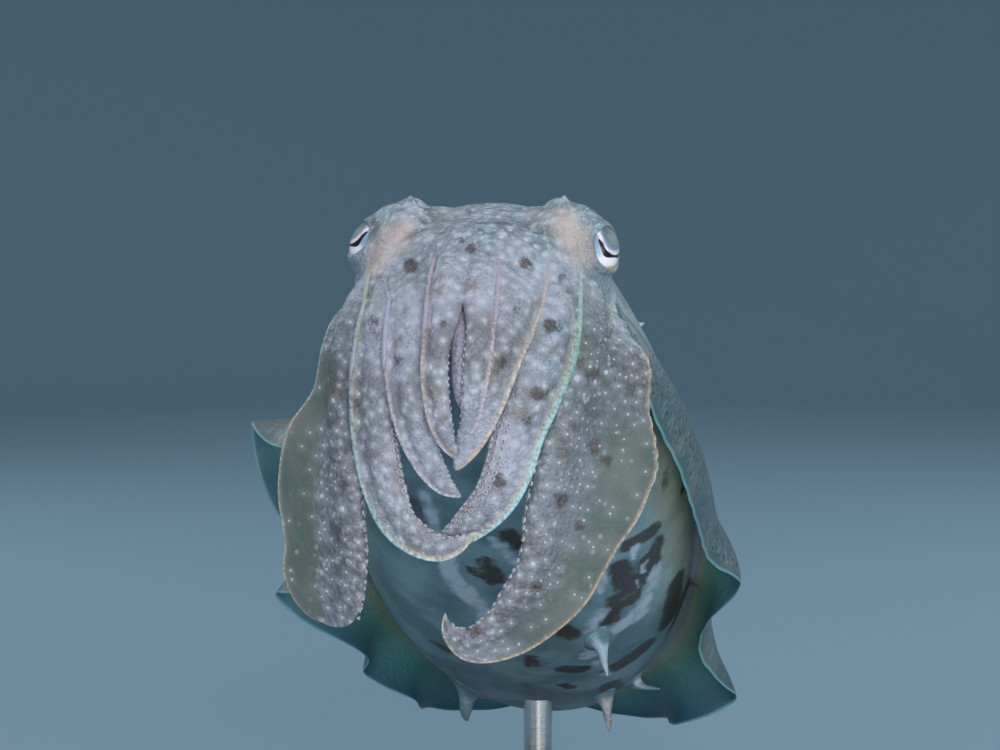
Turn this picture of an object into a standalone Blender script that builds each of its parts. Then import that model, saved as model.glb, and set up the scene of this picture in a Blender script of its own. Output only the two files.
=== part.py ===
"""A life-size broadclub cuttlefish that hovers head up, arms hanging, on a plain display stand.

Lengths are in metres and +Z is up. The head looks along -Y and the animal's left side is +X.
The origin is the middle of the underside of the stand's base.
"""

import math

import bmesh
import bpy
import numpy as np

MM = 0.001
GAP = 0.3 * MM
UP = np.array([0.0, 0.0, 1.0])

# Where the animal stands over the middle of the base. Every other place is measured from here.
EYE_MIDPOINT = np.array([0.0, -95.0, 250.0]) * MM

# The mantle, the sack of the body, tilted head up. Its profile gives half widths as shares.
MANTLE_LENGTH = 290 * MM
MANTLE_TILT = math.radians(42)
MANTLE_HALF_WIDTH = 67 * MM
MANTLE_BACK_HEIGHT = 33 * MM
MANTLE_BELLY_HEIGHT = 47 * MM
MANTLE_FRONT_FROM_EYES = np.array([0.0, 15.0, -17.0]) * MM
WIDTH_PROFILE = [(0, 0.61), (0.1, 0.77), (0.25, 0.93), (0.42, 1.0), (0.6, 0.96),
                 (0.76, 0.80), (0.88, 0.57), (0.96, 0.32), (1.0, 0.0)]
BACK_PROFILE = [(0, 0.88), (0.1, 0.94), (0.25, 1.0), (0.45, 0.98), (0.65, 0.84),
                (0.8, 0.60), (0.9, 0.38), (0.97, 0.17), (1.0, 0.0)]
BELLY_PROFILE = [(0, 0.62), (0.1, 0.77), (0.25, 0.93), (0.42, 1.0), (0.6, 0.94),
                 (0.76, 0.73), (0.88, 0.46), (0.96, 0.22), (1.0, 0.0)]
MANTLE_STATIONS = [0.012, 0.04, 0.08, 0.13, 0.19, 0.26, 0.34, 0.42, 0.5, 0.58, 0.66, 0.73, 0.79,
                   0.845, 0.89, 0.93, 0.96, 0.982, 0.995]
MANTLE_AROUND = 32
COLLAR_LOBE = 13 * MM
COLLAR_NOTCH = 7 * MM
COLLAR_WALL = 4 * MM
COLLAR_DEPTH = 14 * MM

# The fins that run down both sides of the mantle, caught in mid wave. Each row holds a share of the
# mantle's length, the fin's width there in millimetres and its swing in degrees, down if negative.
FIN_WAVES = {
    "left": [(0.025, 7, -66), (0.08, 22, -76), (0.20, 31, -78), (0.32, 32, -78), (0.40, 32, -74),
             (0.47, 34, -56), (0.54, 33, -75), (0.62, 34, -77), (0.69, 38, -60), (0.755, 42, -42),
             (0.83, 34, -62), (0.89, 27, -42), (0.94, 22, -20), (0.972, 14, -8)],
    "right": [(0.025, 7, -66), (0.08, 22, -76), (0.155, 31, -78), (0.21, 32, -48), (0.262, 34, -7),
              (0.33, 33, -28), (0.41, 32, -60), (0.47, 36, -64), (0.54, 42, -37), (0.61, 35, -66),
              (0.68, 31, -74), (0.75, 31, -52), (0.82, 27, -72), (0.88, 25, -46), (0.94, 21, -20),
              (0.972, 14, -8)],
}
FIN_ROOT_THICKNESS = 3.4 * MM
FIN_EDGE_THICKNESS = 1.0 * MM
FIN_ROOT_DEPTH = 2.5 * MM
FIN_ROOT_STIFFNESS = 0.35
FIN_STATIONS = 33
FIN_SHARES = [0.0, 0.26, 0.62, 1.0]

# The head, as ellipsoids: centre from the eye midpoint, then radii, in millimetres.
CRANIUM = ((0, 2, -8), (33, 31, 21.5))
CROWN = ((0, -17, -13), (36, 21, 22))
EYE_BULGE = ((29.5, -3, -2), (14, 17, 16))
BROW = ((25, 1, 9), (6.5, 9, 7))
HEAD_TRIANGLES = 1150
NECK_HALF_WIDTH = 33 * MM
NECK_HALF_HEIGHT = 22 * MM
NECK_LENGTH = 26 * MM

# The eyes look to the sides and a little forward, through almond openings in the skin.
EYE_CENTRE = np.array([34.0, -4.0, -1.5]) * MM
EYE_RADIUS = 11.0 * MM
EYE_LOOKS = np.array([0.94, -0.34, 0.0])
LID_WIDTH = 19 * MM
LID_OPEN = 13.5 * MM
LID_THICKNESS = 1.7 * MM
LID_SPREAD = 1.08
LID_POINTS = 8
LID_SIDES = 5
EYE_SEGMENTS = 14
EYE_RINGS = 8

# The face frame: the arms are laid out as a viewer sees them, across, down and forward of the eyes.
FACE_TURN = math.radians(7)
FACE_PITCH = math.radians(5)
ACROSS = np.array([math.cos(FACE_TURN), math.sin(FACE_TURN), 0.0])
FORWARD = np.array([math.sin(FACE_TURN) * math.cos(FACE_PITCH),
                    -math.cos(FACE_TURN) * math.cos(FACE_PITCH),
                    math.sin(FACE_PITCH)])
DOWN = np.cross(ACROSS, FORWARD)

# Each arm: its side, its half thickness, the share of its length that its tip rounds off in, the
# shares where it is parted, and its route: rows of across, down, forward, half width of the fleshy
# core and width of the keel, in millimetres.
ARMS = {
    "right_1": (-1, 3.0, 0.16, (0.5,), [
        (-9, -1, 22, 4.2, 1.2), (-11.5, 12, 42, 3.9, 1.9), (-13, 28, 54, 3.4, 2.2),
        (-14, 42, 59, 3.2, 2.2), (-13, 54, 60, 3.0, 2.0), (-11, 63, 59, 2.6, 1.4),
        (-8, 69, 58, 2.2, 0.6)]),
    "left_1": (1, 3.0, 0.16, (0.5,), [
        (0, -1, 22, 4.2, 1.2), (-1, 14, 43, 3.9, 1.9), (-2, 30, 55, 3.4, 2.2),
        (-3, 41, 58, 3.2, 2.2), (-4, 50, 58, 2.9, 1.8), (-5, 58, 57, 2.5, 1.2),
        (-8, 64, 55, 2.1, 0.5)]),
    "right_2": (-1, 3.4, 0.16, (0.5,), [
        (-20, 3, 19, 5.2, 1.6), (-22.5, 20, 40, 5.3, 2.8), (-23, 36, 49, 5.1, 3.4),
        (-22, 48, 52, 4.8, 3.4), (-20, 60, 53, 4.0, 3.2), (-16, 70, 52, 3.4, 2.6),
        (-12, 77, 51, 3.0, 1.6), (-7, 81, 50, 2.2, 0.6)]),
    "left_2": (1, 3.4, 0.14, (0.5,), [
        (14, 3, 19, 5.2, 1.6), (11.5, 17, 38, 5.3, 2.8), (7, 28, 46, 5.2, 3.6),
        (3, 39, 51, 4.8, 3.6), (0, 49, 52, 4.4, 3.2), (-3, 58, 51.5, 3.8, 2.6),
        (-6, 66, 50.5, 3.2, 1.6), (-9, 73, 49, 2.4, 0.6)]),
    "right_3": (-1, 3.8, 0.16, (0.36, 0.7), [
        (-27, 6, 12, 5.6, 1.6), (-31, 20, 32, 5.8, 2.8), (-32, 35, 41, 6.0, 3.8),
        (-33, 51, 44, 5.8, 4.0), (-32, 67, 45, 5.4, 4.0), (-29, 80, 46, 4.8, 3.8),
        (-25, 89, 47, 4.0, 3.4), (-17, 95, 48, 3.4, 2.8), (-10, 96, 48.5, 2.8, 2.0),
        (-2, 92, 48, 1.8, 0.6)]),
    "left_3": (1, 3.8, 0.16, (0.36, 0.7), [
        (22, 6, 12, 5.6, 1.6), (23, 19, 32, 6.0, 3.0), (19, 36, 41, 6.4, 4.2),
        (14, 49, 44, 6.2, 4.4), (9, 61, 45, 6.0, 4.2), (6, 72, 45, 5.6, 4.0),
        (2, 81, 44, 5.0, 3.6), (-4, 88, 42.5, 4.2, 3.0), (-11, 94, 41, 3.2, 2.2),
        (-18, 97, 40, 1.9, 0.8)]),
    "right_4": (-1, 4.2, 0.10, (0.34, 0.68), [
        (-34, 10, 6, 5.4, 2.5), (-40, 20, 21, 6.2, 4.0), (-43, 33, 28, 6.6, 5.0),
        (-44, 48, 32.5, 6.4, 6.6), (-44, 53, 33.5, 6.4, 11.5), (-44, 60, 34.5, 6.4, 15.5),
        (-44, 69, 35, 6.2, 19.0), (-43.5, 80, 36, 6.0, 20.5), (-43, 90, 36, 5.8, 19.0),
        (-42, 99, 36, 5.6, 19.5), (-42.5, 110, 35, 5.6, 18.5), (-44, 118, 34.5, 5.2, 17.0),
        (-46, 124, 34, 4.8, 14.5)]),
    "left_4": (1, 4.2, 0.12, (0.34, 0.68), [
        (32, 11, 6, 5.4, 3.0), (34, 20, 21, 6.4, 10.0), (33.5, 32, 28, 6.8, 16.0),
        (30, 45, 32, 6.8, 18.0), (27, 55, 34, 6.8, 24.0), (24.5, 65, 36, 6.8, 30.0),
        (22.5, 73, 36.5, 6.8, 32.0), (20, 83, 37, 6.6, 31.0), (18.5, 91, 37, 6.4, 27.5),
        (17.8, 98, 37, 6.2, 22.0), (15, 106, 37, 5.8, 20.5), (11, 112.5, 37, 5.4, 17.5),
        (4, 122, 36, 4.6, 11.5), (-5, 126.5, 36, 3.6, 7.5), (-11, 123.5, 36.5, 2.4, 3.0),
        (-12.5, 118.5, 37, 1.2, 1.0)]),
}
ARM_STATIONS = 22
ARM_EDGE = 0.55 * MM
TIP_BLUNTNESS = 0.3
TIP_SLIMNESS = 0.35
# The suckers stand in two rows along the inner side of each arm, largest near the base.
SUCKERS_PER_ROW = {"1": 8, "2": 9, "3": 10, "4": 10}
SUCKER_RADIUS = {"1": 1.15 * MM, "2": 1.35 * MM, "3": 1.55 * MM, "4": 1.6 * MM}
SUCKER_SPAN = (0.15, 0.95)
SUCKER_TAPER = 0.6
SUCKER_SIDES = 6
SUCKER_RINGS = [(-0.9, 0.7), (0.6, 1.0)]
SUCKER_DISH = 0.4
SUCKER_INSET = 0.9
SUCKER_SPREAD = 0.3
SUCKER_SPLAY = math.radians(28)
SUCKER_CLEARANCE = 1.0 * MM
SIZE_SPREAD = 0.08
SUCKER_SEED = 11

# The line that the arms hang round, in the face frame, which sets the way that each one faces.
CROWN_TOP = np.array([-2.0, 18.0, -4.0])
CROWN_FOOT = np.array([-10.0, 120.0, 4.0])
SIDE_TURN_SHARE = 0.5

# The tips of the two feeding tentacles, seen between the arms: across, down, forward, radius.
TENTACLES = {
    "right": [(-6, 8, 18, 3.4), (-7.5, 26, 37, 3.3), (-8, 38, 45, 3.6), (-8.3, 50, 48, 2.8)],
    "left": [(4, 8, 18, 3.4), (2, 25, 33, 3.3), (0.5, 37, 40, 3.6), (0, 47, 43, 2.6)],
}

# The funnel under the head: across, down, forward, half width, half height.
FUNNEL = [(0, 40, -22, 20, 10), (0, 40, -8, 17, 10), (0, 41, 5, 12, 9), (0, 42, 15, 8.5, 7.5)]
FUNNEL_MOUTH_DEPTH = 6 * MM
FUNNEL_WALL = 1.8 * MM

# Skin papillae on the mantle: share of the length, angle round it, height and half width of the
# root in millimetres, and how far each leans back. Angle 0 is the left side and 90 the back.
PAPILLAE = [
    (0.56, -64, 13, 4.4, 0.9), (0.83, -55, 14, 3.8, 0.9), (0.83, -33, 8, 3.4, 0.3),
    (0.84, -132, 13, 5.5, 0.8), (0.16, 38, 6, 2.8, 0.5), (0.16, 142, 6, 2.8, 0.5),
    (0.34, 30, 7, 3.0, 0.6), (0.34, 150, 7, 3.0, 0.6), (0.54, 32, 7, 3.0, 0.6),
    (0.54, 148, 7, 3.0, 0.6), (0.72, 40, 6, 2.8, 0.6), (0.72, 140, 6, 2.8, 0.6),
    (0.44, 76, 5, 2.8, 0.5), (0.62, 104, 5, 2.8, 0.5),
]
PAPILLA_SIDES = 6
PAPILLA_RINGS = [(-0.25, 1.1), (0.25, 0.8), (1.0, 0.14)]

# The display stand.
BASE_LENGTH = 236 * MM
BASE_WIDTH = 150 * MM
BASE_THICKNESS = 12 * MM
BASE_CORNER = 26 * MM
BASE_BEVEL = 1.5 * MM
ROD_RADIUS = 6 * MM
ROD_Y = 78 * MM
ROD_TOP = 90 * MM
ROD_SIDES = 20


def along(rows, count):
    """A smooth curve through rows of numbers, as count rows spaced evenly on the first three."""
    rows = np.array(rows, float)
    ends = np.vstack([2 * rows[0] - rows[1], rows, 2 * rows[-1] - rows[-2]])
    t = np.linspace(0, 1, 24, endpoint=False)[:, None]
    fine = []
    for before, here, there, after in zip(ends, ends[1:], ends[2:], ends[3:]):
        fine.append(0.5 * (2 * here + (there - before) * t
                           + (2 * before - 5 * here + 4 * there - after) * t ** 2
                           + (3 * here - before - 3 * there + after) * t ** 3))
    fine = np.vstack(fine + [rows[-1:]])
    steps = np.linalg.norm(np.diff(fine[:, :3], axis=0), axis=1)
    walked = np.concatenate([[0], np.cumsum(steps)])
    at = np.linspace(0, walked[-1], count)
    return np.stack([np.interp(at, walked, column) for column in fine.T], axis=1)


def profile(pairs, u):
    """A smooth value at u through (position, value) pairs."""
    x, y = np.array(pairs, float).T
    slope = np.gradient(y, x)
    k = np.clip(np.searchsorted(x, u, side="right") - 1, 0, len(x) - 2)
    width = x[k + 1] - x[k]
    t = (u - x[k]) / width
    rise = t * t * (3 - 2 * t)
    return (y[k] * (1 - rise) + y[k + 1] * rise
            + width * (slope[k] * t * (1 - t) ** 2 - slope[k + 1] * t * t * (1 - t)))


def unit(v):
    return v / np.linalg.norm(v, axis=-1, keepdims=True)


def from_face(rows_mm):
    """Points given across, down and forward of the eye midpoint, in millimetres, in the world."""
    return EYE_MIDPOINT + np.atleast_2d(rows_mm) @ np.stack([ACROSS, DOWN, FORWARD]) * MM


def finish(name, colour, roughness, metallic=0.0):
    """A material, made once and then shared."""
    made = bpy.data.materials.get(name)
    if made is None:
        made = bpy.data.materials.new(name)
        made.use_nodes = True
        shader = made.node_tree.nodes["Principled BSDF"]
        shader.inputs["Base Color"].default_value = (*colour, 1.0)
        shader.inputs["Roughness"].default_value = roughness
        shader.inputs["Metallic"].default_value = metallic
    return made


def add(name, mesh, material=None):
    made = bpy.data.objects.new(name, mesh)
    bpy.context.scene.collection.objects.link(made)
    mesh.shade_smooth()
    if material:
        mesh.materials.clear()
        mesh.materials.append(material)
    return made


def solid(name, vertices, faces, material=None):
    """One closed object with its faces pointing out."""
    mesh = bpy.data.meshes.new(name)
    mesh.from_pydata([tuple(v) for v in vertices], [], faces)
    work = bmesh.new()
    work.from_mesh(mesh)
    bmesh.ops.recalc_face_normals(work, faces=work.faces)
    work.to_mesh(mesh)
    work.free()
    return add(name, mesh, material)


def tube(name, rings, material=None, dish=0.0):
    """A closed tube through rings of points, each end closed by a fan.

    The quads are cut along the same diagonal on the front and back halves of the ring, and the
    middle of the last fan can be sunk by dish, a vector."""
    rings = np.array(rings)
    count, around = rings.shape[:2]
    faces = []
    for i in range(count - 1):
        for j in range(around):
            a, b = i * around + j, i * around + (j + 1) % around
            c, d = b + around, a + around
            faces += [(a, b, c), (a, c, d)] if j < around // 2 else [(a, b, d), (b, c, d)]
    first, last = count * around, count * around + 1
    for j in range(around):
        k = (j + 1) % around
        faces.append((first, k, j))
        faces.append((last, (count - 1) * around + j, (count - 1) * around + k))
    vertices = np.vstack([rings.reshape(-1, 3), rings[0].mean(0), rings[-1].mean(0) + dish])
    return solid(name, vertices, faces, material)


def loop_tube(name, rings):
    """A tube bent into a closed loop, its last ring joined to its first."""
    count, around = np.array(rings).shape[:2]
    faces = []
    for i in range(count):
        for j in range(around):
            a, b = i * around + j, i * around + (j + 1) % around
            c, d = ((k + around) % (count * around) for k in (b, a))
            faces += [(a, b, c), (a, c, d)]
    return solid(name, np.vstack(rings), faces)


def ellipsoid(name, centre, radii, segments=24, rings=14):
    """An upright ellipsoid, centre in the world and radii in metres."""
    work = bmesh.new()
    bmesh.ops.create_uvsphere(work, u_segments=segments, v_segments=rings, radius=1.0)
    for v in work.verts:
        v.co = centre + np.array(v.co) * radii
    mesh = bpy.data.meshes.new(name)
    work.to_mesh(mesh)
    work.free()
    return add(name, mesh)


def apply(target, modifiers):
    """Runs modifiers, given as (kind, settings), on an object and keeps the result as its mesh."""
    for kind, settings in modifiers:
        modifier = target.modifiers.new(kind.lower(), kind)
        for key, value in settings.items():
            setattr(modifier, key, value)
    graph = bpy.context.evaluated_depsgraph_get()
    result = bpy.data.meshes.new_from_object(target.evaluated_get(graph))
    target.modifiers.clear()
    target.data = result
    result.shade_smooth()


def union(target, pieces):
    """Fuses closed objects into one, removes them and keeps the largest closed surface."""
    group = bpy.data.collections.new("pieces")
    bpy.context.scene.collection.children.link(group)
    for piece in pieces:
        group.objects.link(piece)
    apply(target, [("BOOLEAN", {"operation": "UNION", "operand_type": "COLLECTION",
                                "collection": group, "solver": "EXACT"})])
    for piece in pieces:
        bpy.data.objects.remove(piece)
    bpy.data.collections.remove(group)
    keep_largest(target)


def corners(thing):
    points = np.array([v.co for v in thing.data.vertices])
    return points.min(0), points.max(0)


def carve(target, cutters, keep=False):
    """Cuts each cutter that reaches the target out of it, one after another."""
    low, high = corners(target)
    for cutter in cutters:
        cutter_low, cutter_high = corners(cutter)
        if np.all(low < cutter_high) and np.all(cutter_low < high):
            apply(target, [("BOOLEAN", {"operation": "DIFFERENCE", "object": cutter,
                                        "solver": "EXACT"})])
            keep_largest(target)
        if not keep:
            bpy.data.objects.remove(cutter)


def keep_largest(target):
    """Merges doubles, leaves triangles only and removes all but the largest closed surface."""
    work = bmesh.new()
    work.from_mesh(target.data)
    bmesh.ops.remove_doubles(work, verts=work.verts, dist=0.01 * MM)
    bmesh.ops.dissolve_degenerate(work, edges=work.edges, dist=0.01 * MM)
    bmesh.ops.triangulate(work, faces=work.faces)
    unseen = set(work.verts)
    islands = []
    while unseen:
        front = [unseen.pop()]
        island = set(front)
        while front:
            for edge in front.pop().link_edges:
                for vertex in edge.verts:
                    if vertex in unseen:
                        unseen.discard(vertex)
                        island.add(vertex)
                        front.append(vertex)
        islands.append(island)
    if len(islands) > 1:
        largest = max(islands, key=lambda island: sum(f.calc_area() for v in island
                                                      for f in v.link_faces))
        bmesh.ops.delete(work, geom=[v for v in work.verts if v not in largest], context="VERTS")
    work.to_mesh(target.data)
    work.free()


def mantle_axes():
    """The middle of the mantle's front rim, and the ways that its length and its back point."""
    back = np.array([0, math.cos(MANTLE_TILT), -math.sin(MANTLE_TILT)])
    up = np.array([0, math.sin(MANTLE_TILT), math.cos(MANTLE_TILT)])
    return EYE_MIDPOINT + MANTLE_FRONT_FROM_EYES, back, up


def mantle_points(u, angle, shrink=0.0, lobes=1.0):
    """Points at angles round the mantle, at share u of its length."""
    front, back, up = mantle_axes()
    wide = MANTLE_HALF_WIDTH * profile(WIDTH_PROFILE, u) - shrink
    top = MANTLE_BACK_HEIGHT * profile(BACK_PROFILE, u) - shrink
    bottom = MANTLE_BELLY_HEIGHT * profile(BELLY_PROFILE, u) - shrink
    cos, sin = np.cos(angle), np.sin(angle)
    across = wide * np.sign(cos) * np.abs(cos) ** 0.92
    height = np.where(sin > 0, top, bottom) * np.sign(sin) * np.abs(sin) ** 0.95
    lean = np.where(sin > 0, -COLLAR_LOBE, COLLAR_NOTCH) * sin ** 2 * (1 - u) ** 6 * lobes
    length = u * MANTLE_LENGTH + lean
    return front + np.outer(across, [1, 0, 0]) + np.outer(height, up) + np.outer(length, back)


def mantle_tube(name, material):
    """The mantle with the open collar at its front that the neck sits in."""
    angle = np.arange(MANTLE_AROUND) / MANTLE_AROUND * 2 * math.pi
    outer = [mantle_points(u, angle) for u in MANTLE_STATIONS]
    floor = COLLAR_DEPTH / MANTLE_LENGTH
    inner = [mantle_points(floor * share, angle, COLLAR_WALL, 1 - share)
             for share in (1.0, 0.6, 0.2, 0.06)]
    rim = [mantle_points(0.0, angle, COLLAR_WALL * 0.5)]
    return tube(name, inner + rim + outer, material)


def papilla(u, angle_deg, height, root, lean):
    """A soft spike on the mantle, rooted below its surface."""
    angle = math.radians(angle_deg)
    here, ahead, beside = (mantle_points(u + du, np.array([angle + da]))[0]
                           for du, da in ((0, 0), (0.01, 0), (0, 0.02)))
    along_body = unit(ahead - here)
    out = unit(np.cross(along_body, unit(beside - here)))
    around = np.arange(PAPILLA_SIDES) / PAPILLA_SIDES * 2 * math.pi
    side = np.cross(out, along_body)
    rings = []
    for rise, size in PAPILLA_RINGS:
        centre = here + (out * rise + along_body * lean * max(rise, 0) ** 1.6) * height * MM
        rings.append(centre + root * size * MM * (np.outer(np.cos(around), along_body)
                                                  + np.outer(np.sin(around), side)))
    return tube("papilla", rings)


def make_mantle(material):
    mantle = mantle_tube("mantle", material)
    union(mantle, [papilla(*row) for row in PAPILLAE])
    return mantle


def fin_rings(side):
    """Rings of a fin from head to tail: out along the upper face and back along the lower one."""
    _, _, up = mantle_axes()
    sign = 1 if side == "left" else -1
    angle = np.array([0.0 if side == "left" else math.pi])
    waves = np.array(FIN_WAVES[side])
    rings = []
    for u in np.linspace(waves[0, 0], waves[-1, 0], FIN_STATIONS):
        width = profile(waves[:, :2], u) * MM
        swing = math.radians(profile(waves[:, ::2], u))
        root = mantle_points(u, angle)[0]
        ahead = mantle_points(u + 0.01, angle)[0]
        out = unit(np.cross(ahead - root, up)) * sign
        upper, lower = [], []
        for share in FIN_SHARES:
            bend = swing * (FIN_ROOT_STIFFNESS + (1 - FIN_ROOT_STIFFNESS) * share)
            way = out * math.cos(bend) + up * math.sin(bend)
            point = root - out * FIN_ROOT_DEPTH + way * (width + FIN_ROOT_DEPTH) * share
            face = up * math.cos(bend) - out * math.sin(bend)
            half = 0.5 * (FIN_ROOT_THICKNESS + (FIN_EDGE_THICKNESS - FIN_ROOT_THICKNESS) * share)
            upper.append(point + face * half)
            lower.append(point - face * half)
        rings.append(upper + lower[::-1])
    return np.array(rings)


def fin_tube(name, rings, material):
    """A closed fin whose upper and lower faces are cut into the same triangles."""
    count, around = rings.shape[:2]
    half = around // 2
    faces = []
    for i in range(count - 1):
        for j in range(around):
            a, b = i * around + j, i * around + (j + 1) % around
            c, d = b + around, a + around
            faces += [(a, b, c), (a, c, d)] if j < half else [(a, b, d), (b, c, d)]
    for i, turn in ((0, 1), (count - 1, -1)):
        for j in range(half - 1):
            quad = [i * around + j, i * around + j + 1,
                    i * around + around - 2 - j, i * around + around - 1 - j]
            faces += [tuple(quad[k] for k in (0, 1, 3)[::turn]), tuple(quad[k] for k in (1, 2, 3)[::turn])]
    return solid(name, rings.reshape(-1, 3), faces, material)


def make_fins(mantle, material):
    for side in ("left", "right"):
        fin = fin_tube("fin_" + side, fin_rings(side), material)
        carve(fin, [swollen(mantle, GAP)])


def mirrored(place_mm, sign):
    return EYE_MIDPOINT + np.array(place_mm) * [sign, 1, 1] * MM


def neck_tube(name):
    """The neck, from inside the cranium to the floor of the mantle's collar."""
    front, back, up = mantle_axes()
    end = front + back * (COLLAR_DEPTH + MM)
    angle = np.arange(22) / 22 * 2 * math.pi
    rings = []
    for share, size in ((1.0, 0.7), (0.5, 0.85), (0.15, 0.97), (0.0, 1.0)):
        centre = end - back * NECK_LENGTH * share
        rings.append(centre + np.outer(np.cos(angle) * NECK_HALF_WIDTH * size, [1, 0, 0])
                     + np.outer(np.sin(angle) * NECK_HALF_HEIGHT * size, up))
    return tube(name, rings)


def almond_outline(looks):
    """Points round the opening between the lids, flat on the way that the eye looks."""
    across = unit(np.cross(UP, looks))
    up = np.cross(looks, across)
    half = np.linspace(-1, 1, LID_POINTS)
    rise = (1 - half ** 2) ** 0.8 * LID_OPEN / 2
    upper = np.outer(half * LID_WIDTH / 2, across) + np.outer(rise, up)
    lower = np.outer(half * LID_WIDTH / 2, across) - np.outer(rise, up)
    return np.vstack([upper, lower[-2:0:-1]])


def lids(centre, looks):
    """A soft roll of skin round the opening, lying on the eyeball."""
    outline = almond_outline(looks) * LID_SPREAD
    depth = np.sqrt(EYE_RADIUS ** 2 - (outline ** 2).sum(1))
    middle = centre + outline + np.outer(depth, looks)
    away = unit(middle - centre)
    along_lid = unit(np.roll(middle, -1, 0) - np.roll(middle, 1, 0))
    beside = np.cross(along_lid, away)
    turn = np.arange(LID_SIDES) / LID_SIDES * 2 * math.pi
    rings = [point + LID_THICKNESS * (np.outer(np.cos(turn), out) + np.outer(np.sin(turn), side))
             for point, out, side in zip(middle, away, beside)]
    return loop_tube("lids", rings)


def almond(centre, looks):
    """A lens outline pushed along the way that the eye looks: what the lids leave open."""
    outline = almond_outline(looks)
    rings = [centre + outline * grow + looks * d for d, grow in ((0.0, 0.8), (EYE_RADIUS * 2, 1.25))]
    return tube("opening", rings)


def make_head(mantle, material):
    head = ellipsoid("head", mirrored(CRANIUM[0], 1), np.array(CRANIUM[1]) * MM)
    parts = [ellipsoid("crown", mirrored(CROWN[0], 1), np.array(CROWN[1]) * MM)]
    for sign in (1, -1):
        parts.append(ellipsoid("bulge", mirrored(EYE_BULGE[0], sign), np.array(EYE_BULGE[1]) * MM))
        parts.append(ellipsoid("brow", mirrored(BROW[0], sign), np.array(BROW[1]) * MM))
    union(head, parts)
    apply(head, [("REMESH", {"mode": "VOXEL", "voxel_size": 1.5 * MM}),
                 ("SMOOTH", {"factor": 0.7, "iterations": 14})])
    triangles = sum(len(p.vertices) - 2 for p in head.data.polygons)
    apply(head, [("TRIANGULATE", {}), ("DECIMATE", {"ratio": HEAD_TRIANGLES / triangles})])
    added, cutters = [neck_tube("neck")], []
    for sign in (1, -1):
        centre = EYE_MIDPOINT + EYE_CENTRE * [sign, 1, 1]
        looks = unit(EYE_LOOKS * [sign, 1, 1])
        added.append(lids(centre, looks))
        cutters.append(almond(centre, looks))
        cutters.append(ellipsoid("socket", centre, [EYE_RADIUS + GAP] * 3, EYE_SEGMENTS, EYE_RINGS))
    union(head, added)
    head.data.materials.append(material)
    carve(head, cutters + [swollen(mantle, GAP)])
    return head


def make_eyes(material):
    for name, sign in (("eye_left", 1), ("eye_right", -1)):
        centre = EYE_MIDPOINT + EYE_CENTRE * [sign, 1, 1]
        eye = ellipsoid(name, centre, [EYE_RADIUS] * 3, EYE_SEGMENTS, EYE_RINGS)
        eye.data.materials.append(material)


def swollen(original, amount, name="swollen"):
    """A copy of an object with every point moved out along its normal."""
    mesh = original.data.copy()
    work = bmesh.new()
    work.from_mesh(mesh)
    work.normal_update()
    moves = [(v, v.normal.copy()) for v in work.verts]
    for v, normal in moves:
        v.co += normal * amount
    work.to_mesh(mesh)
    work.free()
    return add(name, mesh)


def arm_frames(name):
    """An arm's spine, its ways along, to the keel and out of the face, and its sizes."""
    side, thickness, _, _, route = ARMS[name]
    rows = along(route, ARM_STATIONS)
    spine = from_face(rows[:, :3])
    tangent = unit(np.gradient(spine, axis=0))
    share = np.clip((rows[:, 1] - CROWN_TOP[1]) / (CROWN_FOOT[1] - CROWN_TOP[1]), 0, 1)
    axis = CROWN_TOP + np.outer(share, CROWN_FOOT - CROWN_TOP)
    away = (rows[:, :3] - axis) * [SIDE_TURN_SHARE, 1, 1] @ np.stack([ACROSS, DOWN, FORWARD])
    face = unit(away - (away * tangent).sum(1, keepdims=True) * tangent)
    keel = side * np.cross(face, tangent)
    return spine, tangent, keel, face, rows[:, 3] * MM, rows[:, 4] * MM, thickness * MM


def arm_section(core, web, thick, swell=0.0):
    """The outline of an arm across its length: a fleshy core on the inner side, thinning to a keel."""
    reach = core + web
    thinning = 0.9 + 1.1 * web / reach
    front = []
    for share in (0.92, 0.48):
        front.append((share * reach, ARM_EDGE + (thick - ARM_EDGE) * (1 - share) ** thinning))
    front += [(-0.2 * core, 0.96 * thick), (-0.8 * core, 0.6 * thick)]
    ring = np.array([(reach, 0.0)] + front + [(-core, 0.0)] + [(x, -y) for x, y in reversed(front)])
    if swell:
        ahead, behind = np.roll(ring, -1, 0), np.roll(ring, 1, 0)
        way = unit(ahead - behind)
        ring = ring + np.stack([way[:, 1], -way[:, 0]], 1) * swell
    return ring


def slimmed(thick, left):
    """Half the thickness of an arm where the share left of it still lies ahead."""
    return thick * min(1.0, TIP_SLIMNESS + 0.9 * left)


def arm_rings(name, swell=0.0):
    spine, tangent, keel, face, core, web, thick = arm_frames(name)
    rings = []
    for k in range(ARM_STATIONS):
        left = (ARM_STATIONS - 1 - k) / (ARM_STATIONS - 1)
        tip = min(1.0, left / ARMS[name][2])
        round_tip = max(TIP_BLUNTNESS, math.sqrt(1 - (1 - tip) ** 2))
        slim = slimmed(thick, left) * round_tip
        section = arm_section(core[k] * round_tip, web[k] * round_tip, slim, swell)
        rings.append(spine[k] + np.outer(section[:, 0], keel[k]) + np.outer(section[:, 1], face[k]))
    return np.array(rings), tangent


def sucker(centre, out, along_arm, radius):
    """A short dished cup that stands out of an arm, its root sunk in the flesh."""
    beside = np.cross(out, along_arm)
    around = np.arange(SUCKER_SIDES) / SUCKER_SIDES * 2 * math.pi
    circle = np.outer(np.cos(around), along_arm) + np.outer(np.sin(around), beside)
    rings = [centre + out * radius * rise + circle * radius * size
             for rise, size in SUCKER_RINGS]
    return tube("sucker", rings, dish=-SUCKER_DISH * radius * out)


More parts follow.
